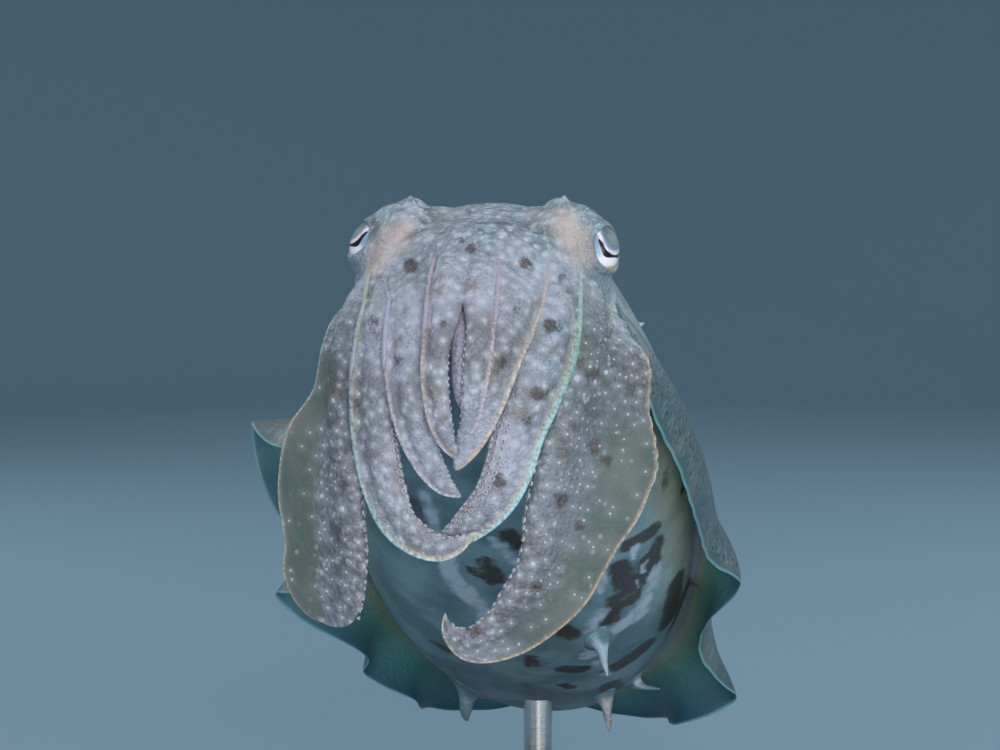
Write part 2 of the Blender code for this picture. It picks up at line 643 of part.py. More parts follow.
def sucker_places(name, draws):
    """Station, row and size of each sucker of an arm, with a little of nature's unevenness."""
    count = SUCKERS_PER_ROW[name[-1]]
    first, last = SUCKER_SPAN
    for k in range(count):
        for row in (-1, 1):
            share = first + (last - first) * (k + 0.5 + 0.25 * row) / count
            size = SUCKER_RADIUS[name[-1]] * (1 - SUCKER_TAPER * share)
            yield share * (ARM_STATIONS - 1), row, size * (1 + draws.uniform(-1, 1) * SIZE_SPREAD)


def arm_suckers(name, start, stop, draws):
    """The cups that lie wholly on one length of an arm, between two stations."""
    spine, tangent, keel, face, core, _, thick = arm_frames(name)
    spacing = np.linalg.norm(spine[1] - spine[0])
    cups = []
    for station, row, size in sucker_places(name, draws):
        clear = (size + SUCKER_CLEARANCE) / spacing
        if not start + (clear if start else 0) < station < stop - clear:
            continue
        k = int(station)
        t = station - k

        def between(values):
            return values[k] * (1 - t) + values[k + 1] * t

        aside = slimmed(thick, 1 - station / (ARM_STATIONS - 1)) * SUCKER_SPREAD * row
        centre = between(spine) - between(keel) * between(core) * SUCKER_INSET + between(face) * aside
        out = unit(-math.cos(SUCKER_SPLAY) * between(keel) + math.sin(SUCKER_SPLAY) * row * between(face))
        cups.append(sucker(centre, out, unit(between(tangent)), size))
    return cups


def make_arms(head, material):
    """Each arm is cut clear of the head and of the arms in front of it, and parted into lengths."""
    barriers = [swollen(head, GAP, "barrier")]
    draws = np.random.default_rng(SUCKER_SEED)
    for pair in ("1", "2", "3", "4"):
        finished = []
        for side in ("right", "left"):
            name = side + "_" + pair
            rings, tangent = arm_rings(name)
            cuts = [round(share * (ARM_STATIONS - 1)) for share in ARMS[name][3]]
            starts = [0] + cuts
            stops = cuts + [ARM_STATIONS - 1]
            parts = ("base", "tip") if len(starts) == 2 else ("base", "middle", "tip")
            for part, start, stop in zip(parts, starts, stops):
                length = rings[start:stop + 1].copy()
                if start:
                    length[0] += tangent[start] * GAP / 2
                if stop < ARM_STATIONS - 1:
                    length[-1] -= tangent[stop] * GAP / 2
                piece = tube("arm_%s_%s" % (name, part), length, material)
                union(piece, arm_suckers(name, start, stop, draws))
                if part != "tip":
                    carve(piece, barriers, keep=True)
            fat, _ = arm_rings(name, GAP)
            finished.append(tube("barrier", fat))
        barriers += finished
    for barrier in barriers:
        bpy.data.objects.remove(barrier)


def make_tentacles(head, material):
    barrier = swollen(head, GAP, "barrier")
    angle = np.arange(10) / 10 * 2 * math.pi
    for side, route in TENTACLES.items():
        rows = along(route, 12)
        spine = from_face(rows[:, :3])
        tangent = unit(np.gradient(spine, axis=0))
        first = unit(np.cross(tangent, FORWARD))
        second = np.cross(tangent, first)
        rings = []
        for k in range(len(rows)):
            tip = max(0.3, math.sqrt(1 - max(0, (k - 7) / 4.3) ** 2))
            rings.append(spine[k] + rows[k, 3] * MM * tip * (np.outer(np.cos(angle), first[k])
                                                             + np.outer(np.sin(angle), second[k])))
        carve(tube("tentacle_" + side, rings, material), [barrier], keep=True)
    bpy.data.objects.remove(barrier)


def make_funnel(head, mantle, material):
    angle = np.arange(14) / 14 * 2 * math.pi
    rows = along(FUNNEL, 6)
    spine = from_face(rows[:, :3])
    tangent = unit(np.gradient(spine, axis=0))
    height_way = unit(np.cross(tangent, [1, 0, 0]))

    def ring(k, trim, back):
        return (spine[k] - tangent[k] * back + np.outer(np.cos(angle) * (rows[k, 3] * MM - trim), [1, 0, 0])
                + np.outer(np.sin(angle) * (rows[k, 4] * MM - trim), height_way[k]))

    rings = [ring(k, 0.0, 0.0) for k in range(len(rows))]
    rings += [ring(-1, FUNNEL_WALL, back) for back in (0.0, FUNNEL_MOUTH_DEPTH)]
    carve(tube("funnel", rings, material), [swollen(head, GAP), swollen(mantle, GAP)])


def make_stand(mantle, board, steel):
    half = np.array([BASE_LENGTH / 2, BASE_WIDTH / 2]) - BASE_CORNER
    turn = np.linspace(0, math.pi / 2, 6)
    outline = []
    for quarter, (sx, sy) in enumerate(((1, 1), (-1, 1), (-1, -1), (1, -1))):
        for a in turn + quarter * math.pi / 2:
            outline.append((sx * half[1] + BASE_CORNER * math.cos(a),
                            sy * half[0] + BASE_CORNER * math.sin(a)))
    outline = np.array(outline)
    inward = unit(outline)
    rings = []
    for z, trim in ((0.0, BASE_BEVEL), (BASE_BEVEL, 0.0), (BASE_THICKNESS - BASE_BEVEL, 0.0),
                    (BASE_THICKNESS, BASE_BEVEL)):
        rings.append(np.column_stack([outline - inward * trim, np.full(len(outline), z)]))
    base = tube("stand_base", rings, board)
    base.data.set_sharp_from_angle(angle=math.radians(30))
    angle = np.arange(ROD_SIDES) / ROD_SIDES * 2 * math.pi
    circle = np.column_stack([np.cos(angle) * ROD_RADIUS, np.sin(angle) * ROD_RADIUS + ROD_Y])
    rod = tube("stand_rod", [np.column_stack([circle, np.full(ROD_SIDES, z)])
                             for z in (BASE_THICKNESS + GAP, ROD_TOP)], steel)
    carve(rod, [swollen(mantle, GAP)])
    rod.data.set_sharp_from_angle(angle=math.radians(30))


def main():
    for old in list(bpy.data.objects):
        bpy.data.objects.remove(old)
    skin = finish("skin", (0.42, 0.38, 0.36), 0.5)
    fin_skin = finish("fin_skin", (0.16, 0.27, 0.30), 0.4)
    eye = finish("eye", (0.62, 0.62, 0.60), 0.15)
    board = finish("stand_board", (0.05, 0.05, 0.055), 0.35)
    steel = finish("stand_steel", (0.6, 0.6, 0.6), 0.3, 1.0)
    mantle = make_mantle(skin)
    make_fins(mantle, fin_skin)
    head = make_head(mantle, skin)
    make_eyes(eye)
    make_arms(head, skin)
    make_tentacles(head, skin)
    make_funnel(head, mantle, skin)
    make_stand(mantle, board, steel)


main()
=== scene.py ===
# %% [markdown]
# # A broadclub cuttlefish on a museum stand
#
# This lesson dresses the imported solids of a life-size cuttlefish. The animal hovers head up, its eight
# arms hanging in front of it, and a rod and a flat base hold it. The solids already have every part in
# its place. What is made here is the look: one supple skin, the frilled fins, the ringed suckers, the
# banded eyes and the colours that run through all of them.

# %% Load the frame
import math

import bmesh
import bpy
import numpy as np
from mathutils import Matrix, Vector, kdtree, noise
from mathutils.bvhtree import BVHTree


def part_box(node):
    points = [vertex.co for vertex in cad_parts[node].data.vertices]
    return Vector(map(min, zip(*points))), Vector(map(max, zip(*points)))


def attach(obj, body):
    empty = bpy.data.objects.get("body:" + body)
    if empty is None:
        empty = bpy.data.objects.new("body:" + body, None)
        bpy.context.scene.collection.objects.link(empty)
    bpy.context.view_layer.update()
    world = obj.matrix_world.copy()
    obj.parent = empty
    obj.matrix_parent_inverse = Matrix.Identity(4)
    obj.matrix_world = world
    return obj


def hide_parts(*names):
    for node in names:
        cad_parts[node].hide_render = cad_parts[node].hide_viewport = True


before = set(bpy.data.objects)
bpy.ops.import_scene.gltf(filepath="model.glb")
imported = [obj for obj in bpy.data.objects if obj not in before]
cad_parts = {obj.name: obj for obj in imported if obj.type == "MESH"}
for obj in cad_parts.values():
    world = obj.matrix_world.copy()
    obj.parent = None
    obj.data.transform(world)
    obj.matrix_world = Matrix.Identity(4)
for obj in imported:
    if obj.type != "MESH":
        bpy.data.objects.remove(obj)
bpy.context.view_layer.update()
print("the solids have", len(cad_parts), "nodes")

# %% [markdown]
# ## Sizes and places
#
# A skin that replaces solids has to lie where they are, so it starts from the same named sizes: the
# mantle's length and tilt, its profiles, and the routes of the arms. Lengths are in metres, and the
# origin is the middle of the base's underside. The head looks along -Y.

# %% The sizes that the solids were made from
MM = 0.001
UP = np.array([0.0, 0.0, 1.0])
EYE_MIDPOINT = np.array([0.0, -95.0, 250.0]) * MM

MANTLE_LENGTH = 290 * MM
MANTLE_TILT = math.radians(42)
MANTLE_HALF_WIDTH = 67 * MM
MANTLE_BACK_HEIGHT = 33 * MM
MANTLE_BELLY_HEIGHT = 47 * MM
MANTLE_FRONT_FROM_EYES = np.array([0.0, 15.0, -17.0]) * MM
WIDTH_PROFILE = [(0, 0.61), (0.1, 0.77), (0.25, 0.93), (0.42, 1.0), (0.6, 0.96),
                 (0.76, 0.80), (0.88, 0.57), (0.96, 0.32), (1.0, 0.0)]
BACK_PROFILE = [(0, 0.88), (0.1, 0.94), (0.25, 1.0), (0.45, 0.98), (0.65, 0.84),
                (0.8, 0.60), (0.9, 0.38), (0.97, 0.17), (1.0, 0.0)]
BELLY_PROFILE = [(0, 0.62), (0.1, 0.77), (0.25, 0.93), (0.42, 1.0), (0.6, 0.94),
                 (0.76, 0.73), (0.88, 0.46), (0.96, 0.22), (1.0, 0.0)]
COLLAR_LOBE = 13 * MM
COLLAR_NOTCH = 7 * MM
COLLAR_WALL = 4 * MM
COLLAR_DEPTH = 14 * MM

# Each row: a share of the mantle's length, the fin's width in millimetres and its swing in degrees.
FIN_WAVES = {
    "left": [(0.025, 7, -66), (0.08, 22, -76), (0.20, 31, -78), (0.32, 32, -78), (0.40, 32, -74),
             (0.47, 34, -56), (0.54, 33, -75), (0.62, 34, -77), (0.69, 38, -60), (0.755, 42, -42),
             (0.83, 34, -62), (0.89, 27, -42), (0.94, 22, -20), (0.972, 14, -8)],
    "right": [(0.025, 7, -66), (0.08, 22, -76), (0.155, 31, -78), (0.21, 32, -48), (0.262, 34, -7),
              (0.33, 33, -28), (0.41, 32, -60), (0.47, 36, -64), (0.54, 42, -37), (0.61, 35, -66),
              (0.68, 31, -74), (0.75, 31, -52), (0.82, 27, -72), (0.88, 25, -46), (0.94, 21, -20),
              (0.972, 14, -8)],
}
FIN_ROOT_STIFFNESS = 0.35

# The head's forms: centre from the eye midpoint, then radii, in millimetres.
CRANIUM = ((0, 2, -8), (33, 31, 21.5))
CROWN = ((0, -17, -13), (36, 21, 22))
EYE_BULGE = ((29.5, -3, -2), (14, 17, 16))
BROW = ((25, 1, 9), (6.5, 9, 7))
SHOULDER = ((16, 0, 1), (15, 15, 12))
CHEEK = ((25, -10, -2), (12.5, 13.5, 14.5))
JOWL = ((33.5, -3, -13), (10, 11, 12))
NECK_HALF_WIDTH = 33 * MM
NECK_HALF_HEIGHT = 22 * MM
NECK_LENGTH = 26 * MM
EYE_CENTRE = np.array([34.0, -4.0, -1.5]) * MM
EYE_RADIUS = 11.0 * MM

# The face frame: across, down and forward of the eye midpoint, as a viewer in front sees them.
FACE_TURN = math.radians(7)
FACE_PITCH = math.radians(5)
ACROSS = np.array([math.cos(FACE_TURN), math.sin(FACE_TURN), 0.0])
FORWARD = np.array([math.sin(FACE_TURN) * math.cos(FACE_PITCH),
                    -math.cos(FACE_TURN) * math.cos(FACE_PITCH),
                    math.sin(FACE_PITCH)])
DOWN = np.cross(ACROSS, FORWARD)

# Each arm: its side, half thickness, the share that its tip rounds off in, and its route: across,
# down, forward, half width of the fleshy core and width of the keel, in millimetres.
ARMS = {
    "right_1": (-1, 3.0, 0.16, [
        (-9, -1, 22, 4.2, 1.2), (-11.5, 12, 42, 3.9, 1.9), (-13, 28, 54, 3.4, 2.2),
        (-14, 42, 59, 3.2, 2.2), (-13, 54, 60, 3.0, 2.0), (-11, 63, 59, 2.6, 1.4),
        (-8, 69, 58, 2.2, 0.6)]),
    "left_1": (1, 3.0, 0.16, [
        (0, -1, 22, 4.2, 1.2), (-1, 14, 43, 3.9, 1.9), (-2, 30, 55, 3.4, 2.2),
        (-3, 41, 58, 3.2, 2.2), (-4, 50, 58, 2.9, 1.8), (-5, 58, 57, 2.5, 1.2),
        (-8, 64, 55, 2.1, 0.5)]),
    "right_2": (-1, 3.4, 0.16, [
        (-20, 3, 19, 5.2, 1.6), (-22.5, 20, 40, 5.3, 2.8), (-23, 36, 49, 5.1, 3.4),
        (-22, 48, 52, 4.8, 3.4), (-20, 60, 53, 4.0, 3.2), (-16, 70, 52, 3.4, 2.6),
        (-12, 77, 51, 3.0, 1.6), (-7, 81, 50, 2.2, 0.6)]),
    "left_2": (1, 3.4, 0.14, [
        (14, 3, 19, 5.2, 1.6), (11.5, 17, 38, 5.3, 2.8), (7, 28, 46, 5.2, 3.6),
        (3, 39, 51, 4.8, 3.6), (0, 49, 52, 4.4, 3.2), (-3, 58, 51.5, 3.8, 2.6),
        (-6, 66, 50.5, 3.2, 1.6), (-9, 73, 49, 2.4, 0.6)]),
    "right_3": (-1, 3.8, 0.16, [
        (-27, 6, 12, 5.6, 1.6), (-31, 20, 32, 5.8, 2.8), (-32, 35, 41, 6.0, 3.8),
        (-33, 51, 44, 5.8, 4.0), (-32, 67, 45, 5.4, 4.0), (-29, 80, 46, 4.8, 3.8),
        (-25, 89, 47, 4.0, 3.4), (-17, 95, 48, 3.4, 2.8), (-10, 96, 48.5, 2.8, 2.0),
        (-2, 92, 48, 1.8, 0.6)]),
    "left_3": (1, 3.8, 0.16, [
        (22, 6, 12, 5.6, 1.6), (23, 19, 32, 6.0, 3.0), (19, 36, 41, 6.4, 4.2),
        (14, 49, 44, 6.2, 4.4), (9, 61, 45, 6.0, 4.2), (6, 72, 45, 5.6, 4.0),
        (2, 81, 44, 5.0, 3.6), (-4, 88, 42.5, 4.2, 3.0), (-11, 94, 41, 3.2, 2.2),
        (-18, 97, 40, 1.9, 0.8)]),
    "right_4": (-1, 4.2, 0.17, [
        (-34, 10, 6, 5.4, 2.5), (-40, 20, 21, 6.2, 4.0), (-43, 33, 28, 6.6, 5.0),
        (-44, 48, 32.5, 6.4, 6.6), (-44, 53, 33.5, 6.4, 11.5), (-44, 60, 34.5, 6.4, 15.5),
        (-44, 69, 35, 6.2, 19.0), (-43.5, 80, 36, 6.0, 20.5), (-43, 90, 36, 5.8, 19.0),
        (-42, 99, 36, 5.6, 19.5), (-42.5, 110, 35, 5.8, 19.5), (-43, 117.5, 34.5, 6.3, 19.0),
        (-43.5, 124, 34, 6.8, 18.0)]),
    "left_4": (1, 4.2, 0.12, [
        (32, 11, 6, 5.4, 3.0), (34, 20, 21, 6.4, 10.0), (33.5, 32, 28, 6.8, 16.0),
        (30, 45, 32, 6.8, 18.0), (27, 55, 34, 6.8, 24.0), (24.5, 65, 36, 6.8, 30.0),
        (22.5, 73, 36.5, 6.8, 32.0), (20, 83, 37, 6.6, 31.0), (18.5, 91, 37, 6.4, 27.5),
        (17.8, 98, 37, 6.2, 22.0), (15, 106, 37, 5.8, 20.5), (11, 112.5, 37, 5.4, 17.5),
        (4, 122, 36, 4.6, 11.5), (-5, 126.5, 36, 3.6, 7.5), (-11, 123.5, 36.5, 2.4, 3.0),
        (-12.5, 118.5, 37, 1.2, 1.0)]),
}
ARM_EDGE = 0.45 * MM
TIP_SLIMNESS = 0.35
CROWN_TOP = np.array([-2.0, 18.0, -4.0])
CROWN_FOOT = np.array([-10.0, 120.0, 4.0])
SIDE_TURN_SHARE = 0.5

# The tips of the feeding tentacles: across, down, forward, radius. The funnel: half width, half height.
TENTACLES = {
    "right": [(-6, 8, 20, 3.2), (-7.2, 22, 43, 2.5), (-7.4, 36, 53.0, 2.9), (-7.3, 53, 54.5, 3.6)],
    "left": [(4, 8, 18, 3.4), (2, 25, 33, 3.3), (-1.0, 37, 43, 3.2), (-3.0, 48, 47, 2.4)],
}
FUNNEL = [(0, 40, -22, 20, 10), (0, 40, -8, 17, 10), (0, 41, 5, 12, 9), (0, 42, 15, 8.5, 7.5)]
FUNNEL_MOUTH_DEPTH = 6 * MM
FUNNEL_WALL = 1.8 * MM

# Papillae: share of the mantle's length, angle round it, height and half width of the root in
# millimetres, and how far each leans back. Angle 0 is the left side and 90 the back.
PAPILLAE = [
    (0.56, -64, 11, 3.8, 0.9), (0.83, -55, 14, 3.8, 0.9), (0.83, -33, 10, 3.4, -1.7),
    (0.84, -132, 13, 5.5, 0.8), (0.16, 38, 6, 2.8, 0.5), (0.16, 142, 6, 2.8, 0.5),
    (0.34, 30, 7, 3.0, 0.6), (0.34, 150, 7, 3.0, 0.6), (0.54, 32, 7, 3.0, 0.6),
    (0.54, 148, 7, 3.0, 0.6), (0.72, 40, 6, 2.8, 0.6), (0.72, 140, 6, 2.8, 0.6),
    (0.44, 76, 5, 2.8, 0.5), (0.62, 104, 5, 2.8, 0.5),
]
print("eye to eye", round(2 * EYE_CENTRE[0] / MM), "mm, mantle", round(MANTLE_LENGTH / MM), "mm")

# %% [markdown]
# ## Camera, light and backdrop
#
# The photograph was taken with a long lens from just in front of the face, a little above it, so the
# camera goes there first and every later choice can be judged through it. The lights are large and
# soft, as in a studio. The strongest is near the camera, as the flash under water was. A wide shallow
# bowl of plain paper lies under and behind the model, so it can be looked at from every side.

# %% The camera and the backdrop
CAMERA_DISTANCE = 700 * MM
LENS_MM = 75.6
SENSOR_MM = 36.0
EYES_RIGHT_OF_CENTRE = -5.0 * MM
EYES_ABOVE_CENTRE = 43.3 * MM


def place_camera():
    """A camera that looks against the face's forward way, with the eyes near the top of the picture."""
    data = bpy.data.cameras.new("camera")
    data.lens = LENS_MM
    data.sensor_width = SENSOR_MM
    camera = bpy.data.objects.new("camera", data)
    place = (EYE_MIDPOINT + FORWARD * CAMERA_DISTANCE - ACROSS * EYES_RIGHT_OF_CENTRE
             + DOWN * EYES_ABOVE_CENTRE)
    camera.location = Vector(place)
    camera.rotation_euler = Vector(-FORWARD).to_track_quat("-Z", "Y").to_euler()
    bpy.context.scene.collection.objects.link(camera)
    bpy.context.scene.camera = camera
    return camera


def round_angles(count):
    """Angles set evenly round a full turn."""
    return np.arange(count) / count * 2 * math.pi


def nearest_finder(places):
    """A tree that finds the nearest of several places."""
    tree = kdtree.KDTree(len(places))
    for k, place in enumerate(places):
        tree.insert(Vector(place), k)
    tree.balance()
    return tree


def evaluated_mesh(target):
    """The mesh of an object with its modifiers at work."""
    graph = bpy.context.evaluated_depsgraph_get()
    return bpy.data.meshes.new_from_object(target.evaluated_get(graph))


def unit(v):
    return v / np.linalg.norm(v, axis=-1, keepdims=True)


def from_face(rows_mm):
    """Points given across, down and forward of the eye midpoint, in millimetres, in the world."""
    return EYE_MIDPOINT + np.atleast_2d(rows_mm) @ np.stack([ACROSS, DOWN, FORWARD]) * MM


def to_face(points):
    """The same the other way round: world points as across, down and forward in millimetres."""
    return (points - EYE_MIDPOINT) @ np.stack([ACROSS, DOWN, FORWARD]).T / MM


camera = place_camera()
print("the camera is", round(camera.location.z / MM), "mm above the floor")

# %% The lights
# Each light: where it stands, how wide it is, its power in watts and its colour.
LIGHTS = {
    "key": ((0.50, -1.35, 0.75), 0.7, 7.6, (1.0, 0.985, 0.96)),
    "front": ((0.16, -1.55, 0.34), 0.35, 4.1, (1.0, 0.99, 0.97)),
    "fill": ((-0.95, -1.15, 0.30), 0.9, 3.6, (0.95, 0.98, 1.0)),
    "low": ((0.30, -1.15, 0.06), 0.7, 4.2, (0.92, 0.98, 1.0)),
    "side": ((1.15, -0.85, 0.22), 0.7, 4.5, (0.92, 1.0, 0.97)),
    "rim_left": ((0.95, 0.75, 0.85), 0.6, 5.5, (0.86, 0.96, 1.0)),
    "rim_right": ((-0.95, 0.65, 0.75), 0.6, 3.5, (0.86, 0.95, 1.0)),
    "top": ((0.0, 0.1, 1.5), 1.2, 4.0, (1.0, 1.0, 1.0)),
}
WORLD_LIGHT = 0.40
WORLD_COLOUR = (0.74, 0.88, 1.0, 1.0)
FLOOR_RADIUS = 1.9
BOWL_BEND = 1.3
BOWL_HEIGHT = 1.7
BACKDROP_SHADE = (0.20, 0.305, 0.375)


def place_lights():
    for name, (place, width, power, colour) in LIGHTS.items():
        data = bpy.data.lights.new(name, "AREA")
        data.shape = "DISK"
        data.size = width
        data.energy = power
        data.color = colour
        light = bpy.data.objects.new(name, data)
        light.location = place
        aim = Vector((0.0, 0.0, 0.16)) - Vector(place)
        light.rotation_euler = aim.to_track_quat("-Z", "Y").to_euler()
        bpy.context.scene.collection.objects.link(light)
    world = bpy.data.worlds.new("studio")
    world.use_nodes = True
    world.node_tree.nodes["Background"].inputs["Color"].default_value = WORLD_COLOUR
    world.node_tree.nodes["Background"].inputs["Strength"].default_value = WORLD_LIGHT
    bpy.context.scene.world = world


def make_backdrop(around=96, steps=24):
    """A wide shallow bowl: a floor that curves up into a low wall on every side."""
    rows = [(FLOOR_RADIUS + BOWL_BEND * math.sin(turn), BOWL_BEND * (1 - math.cos(turn)))
            for turn in np.linspace(0, math.pi / 2, steps)]
    rows.append((FLOOR_RADIUS + BOWL_BEND, BOWL_HEIGHT))
    turns = np.arange(around) / around * math.tau
    points = [(r * math.cos(a), r * math.sin(a), z) for r, z in rows for a in turns]
    faces = []
    for here in range(0, steps * around, around):
        for j in range(around):
            beside = (j + 1) % around
            faces.append((here + j, here + around + j, here + around + beside, here + beside))
    mesh = bpy.data.meshes.new("backdrop")
    mesh.from_pydata(points, [], [tuple(range(around))] + faces)
    mesh.shade_smooth()
    paper = bpy.data.materials.new("backdrop_paper")
    paper.use_nodes = True
    shader = paper.node_tree.nodes["Principled BSDF"]
    shader.inputs["Base Color"].default_value = (*BACKDROP_SHADE, 1.0)
    shader.inputs["Roughness"].default_value = 0.9
    shader.inputs["Specular IOR Level"].default_value = 0.1
    mesh.materials.append(paper)
    backdrop = bpy.data.objects.new("backdrop", mesh)
    bpy.context.scene.collection.objects.link(backdrop)


bpy.context.scene.view_settings.view_transform = "Standard"
place_lights()
make_backdrop()
print(len(LIGHTS), "lights stand round the model")

# %% [markdown]
# ## Curves and profiles
#
# Two small tools give every form its flow. One runs a smooth curve through a few points of a route and
# spaces it evenly, the other reads a smooth value out of a short profile. A third turns rows of rings
# into a skin of quads.

# %% Tools for curves and skins


def along(rows, count):
    """A smooth curve through rows of numbers, as count rows spaced evenly on the first three."""
    rows = np.array(rows, float)
    ends = np.vstack([2 * rows[0] - rows[1], rows, 2 * rows[-1] - rows[-2]])
    t = np.linspace(0, 1, 24, endpoint=False)[:, None]
    fine = []
    for before, here, there, after in zip(ends, ends[1:], ends[2:], ends[3:]):
        fine.append(0.5 * (2 * here + (there - before) * t
                           + (2 * before - 5 * here + 4 * there - after) * t ** 2
                           + (3 * here - before - 3 * there + after) * t ** 3))
    fine = np.vstack(fine + [rows[-1:]])
    steps = np.linalg.norm(np.diff(fine[:, :3], axis=0), axis=1)
    walked = np.concatenate([[0], np.cumsum(steps)])
    at = np.linspace(0, walked[-1], count)
    return np.stack([np.interp(at, walked, column) for column in fine.T], axis=1)


def profile(pairs, u):
    """A smooth value at u through (position, value) pairs."""
    x, y = np.array(pairs, float).T
    slope = np.gradient(y, x)
    k = np.clip(np.searchsorted(x, u, side="right") - 1, 0, len(x) - 2)
    width = x[k + 1] - x[k]
    t = (u - x[k]) / width
    rise = t * t * (3 - 2 * t)
    return (y[k] * (1 - rise) + y[k + 1] * rise
            + width * (slope[k] * t * (1 - t) ** 2 - slope[k + 1] * t * t * (1 - t)))


def ease(x, low=0.0, high=1.0):
    """0 below low, 1 above high and a smooth rise between."""
    t = np.clip((x - low) / (high - low), 0, 1)
    return t * t * (3 - 2 * t)


def rough(points, scale, seed=0.0):
    """Smooth noise from -1 to 1 at each point, with features of about 1 / scale metres."""
    return np.array([noise.noise(Vector((p * scale + seed))) for p in points])


class Skin:
    """Gathers points, faces and marks of one skin, so that many forms become one mesh."""

    def __init__(self):
        self.points, self.faces, self.marks, self.size = [], [], {}, 0

    def add(self, points, faces, **marks):
        """Adds one form. A mark is one value, or one colour with its strength, for each point."""
        points = np.asarray(points, float).reshape(-1, 3)
        self.points.append(points)
        self.faces += [tuple(i + self.size for i in face) for face in faces]
        for name, values in marks.items():
            values = np.asarray(values, float)
            self.marks.setdefault(name, []).append((self.size, values))
        self.size += len(points)

    def grid(self, rings, **marks):
        """Adds a tube through rings of points, closed by a fan at each end."""
        rings = np.asarray(rings, float)
        count, around = rings.shape[:2]
        i, j = np.meshgrid(np.arange(count - 1), np.arange(around), indexing="ij")
        a, b = i * around + j, i * around + (j + 1) % around
        faces = np.stack([a, b, b + around, a + around], -1).reshape(-1, 4).tolist()
        first, last, end = count * around, count * around + 1, (count - 1) * around
        for k in range(around):
            faces.append((first, (k + 1) % around, k))
            faces.append((last, end + k, end + (k + 1) % around))
        points = np.vstack([rings.reshape(-1, 3), rings[0].mean(0), rings[-1].mean(0)])
        full = {}
        for name, values in marks.items():
            values = np.asarray(values, float)
            flat = values.reshape(count * around, -1)
            full[name] = np.vstack([flat, flat[:1], flat[-1:]]).squeeze()
        self.add(points, faces, **full)

    def loop(self, rings, **marks):
        """Adds a tube bent into a closed loop, its last ring joined to its first."""
        rings = np.asarray(rings, float)
        count, around = rings.shape[:2]
        i, j = np.meshgrid(np.arange(count), np.arange(around), indexing="ij")
        ahead, beside = (i + 1) % count, (j + 1) % around
        here, there = i * around, ahead * around
        faces = np.stack([here + j, here + beside, there + beside, there + j], -1)
        flat = {name: np.asarray(values, float).reshape(count * around, -1).squeeze()
                for name, values in marks.items()}
        self.add(rings, faces.reshape(-1, 4).tolist(), **flat)

    def build(self, name, material):
        points = np.vstack(self.points)
        mesh = bpy.data.meshes.new(name)
        mesh.from_pydata(points.tolist(), [], self.faces)
        for mark, rows in self.marks.items():
            colour = any(values.ndim == 2 for _, values in rows)
            data = np.zeros((len(points), 4 if colour else 1), np.float32)
            for start, values in rows:
                data[start:start + len(values)] = values.reshape(len(values), -1)
            kind = "FLOAT_COLOR" if colour else "FLOAT"
            attribute = mesh.attributes.new(mark, kind, "POINT")
            attribute.data.foreach_set("color" if colour else "value", data.ravel())
        work = bmesh.new()
        work.from_mesh(mesh)
        bmesh.ops.recalc_face_normals(work, faces=work.faces)
        work.to_mesh(mesh)
        work.free()
        mesh.shade_smooth()
        mesh.materials.append(material)
        made = bpy.data.objects.new(name, mesh)
        bpy.context.scene.collection.objects.link(made)
        return made


print("a profile at half the mantle's length gives", round(float(profile(WIDTH_PROFILE, 0.5)), 3))

# %% [markdown]
# ## The mantle and its fins
#
# On the animal the mantle is one muscular sack, and the fins are a hem of the same skin. A sculptor
# would pull the fins out of the clay of the body. Here each ring of the skin does the same: it runs over
# the back, out along the fin and back in under it, across the belly, and out and back along the other
# fin. A small curve fills the corner where the fin leaves the body, so no seam can show.

# %% Points on the mantle and on the fins
# How round the mantle's section is across and in height. 1 would be an ellipse.
SIDE_ROUNDNESS = 0.92
BACK_ROUNDNESS = 0.95
BODY_STATIONS = 200
BACK_POINTS = 62
BELLY_POINTS = 58
FIN_POINTS = 15
FILLET_POINTS = 4
FILLET = 3.2 * MM
FIN_ROOT_HALF = 1.7 * MM
FIN_EDGE_HALF = 0.35 * MM
FIN_ROOT_DEPTH = 2.5 * MM
FRILL_WAVE = 9.5 * MM
FRILL_HEIGHT = 0.14 * MM
FIN_START = (0.004, 0.034)
FIN_END = (0.976, 0.997)
LEFT, RIGHT = 0, 1


def mantle_axes():
    """The middle of the mantle's front rim, and the ways that its length and its back point."""
    back = np.array([0, math.cos(MANTLE_TILT), -math.sin(MANTLE_TILT)])
    up = np.array([0, math.sin(MANTLE_TILT), math.cos(MANTLE_TILT)])
    return EYE_MIDPOINT + MANTLE_FRONT_FROM_EYES, back, up


def mantle_points(u, angle, shrink=0.0, lobes=1.0):
    """Points at angles round the mantle, at share u of its length."""
    front, back, up = mantle_axes()
    inside = np.clip(u, 0, 1)
    wide = MANTLE_HALF_WIDTH * profile(WIDTH_PROFILE, inside) - shrink
    top = MANTLE_BACK_HEIGHT * profile(BACK_PROFILE, inside) - shrink
    bottom = MANTLE_BELLY_HEIGHT * profile(BELLY_PROFILE, inside) - shrink
    cos, sin = np.cos(angle), np.sin(angle)
    across = wide * np.sign(cos) * np.abs(cos) ** SIDE_ROUNDNESS
    height = np.where(sin > 0, top, bottom) * np.sign(sin) * np.abs(sin) ** BACK_ROUNDNESS
    lean = np.where(sin > 0, -COLLAR_LOBE, COLLAR_NOTCH) * sin ** 2 * (1 - u) ** 6 * lobes
    length = u * MANTLE_LENGTH + lean
    return front + np.outer(across, [1, 0, 0]) + np.outer(height, up) + np.outer(length, back)


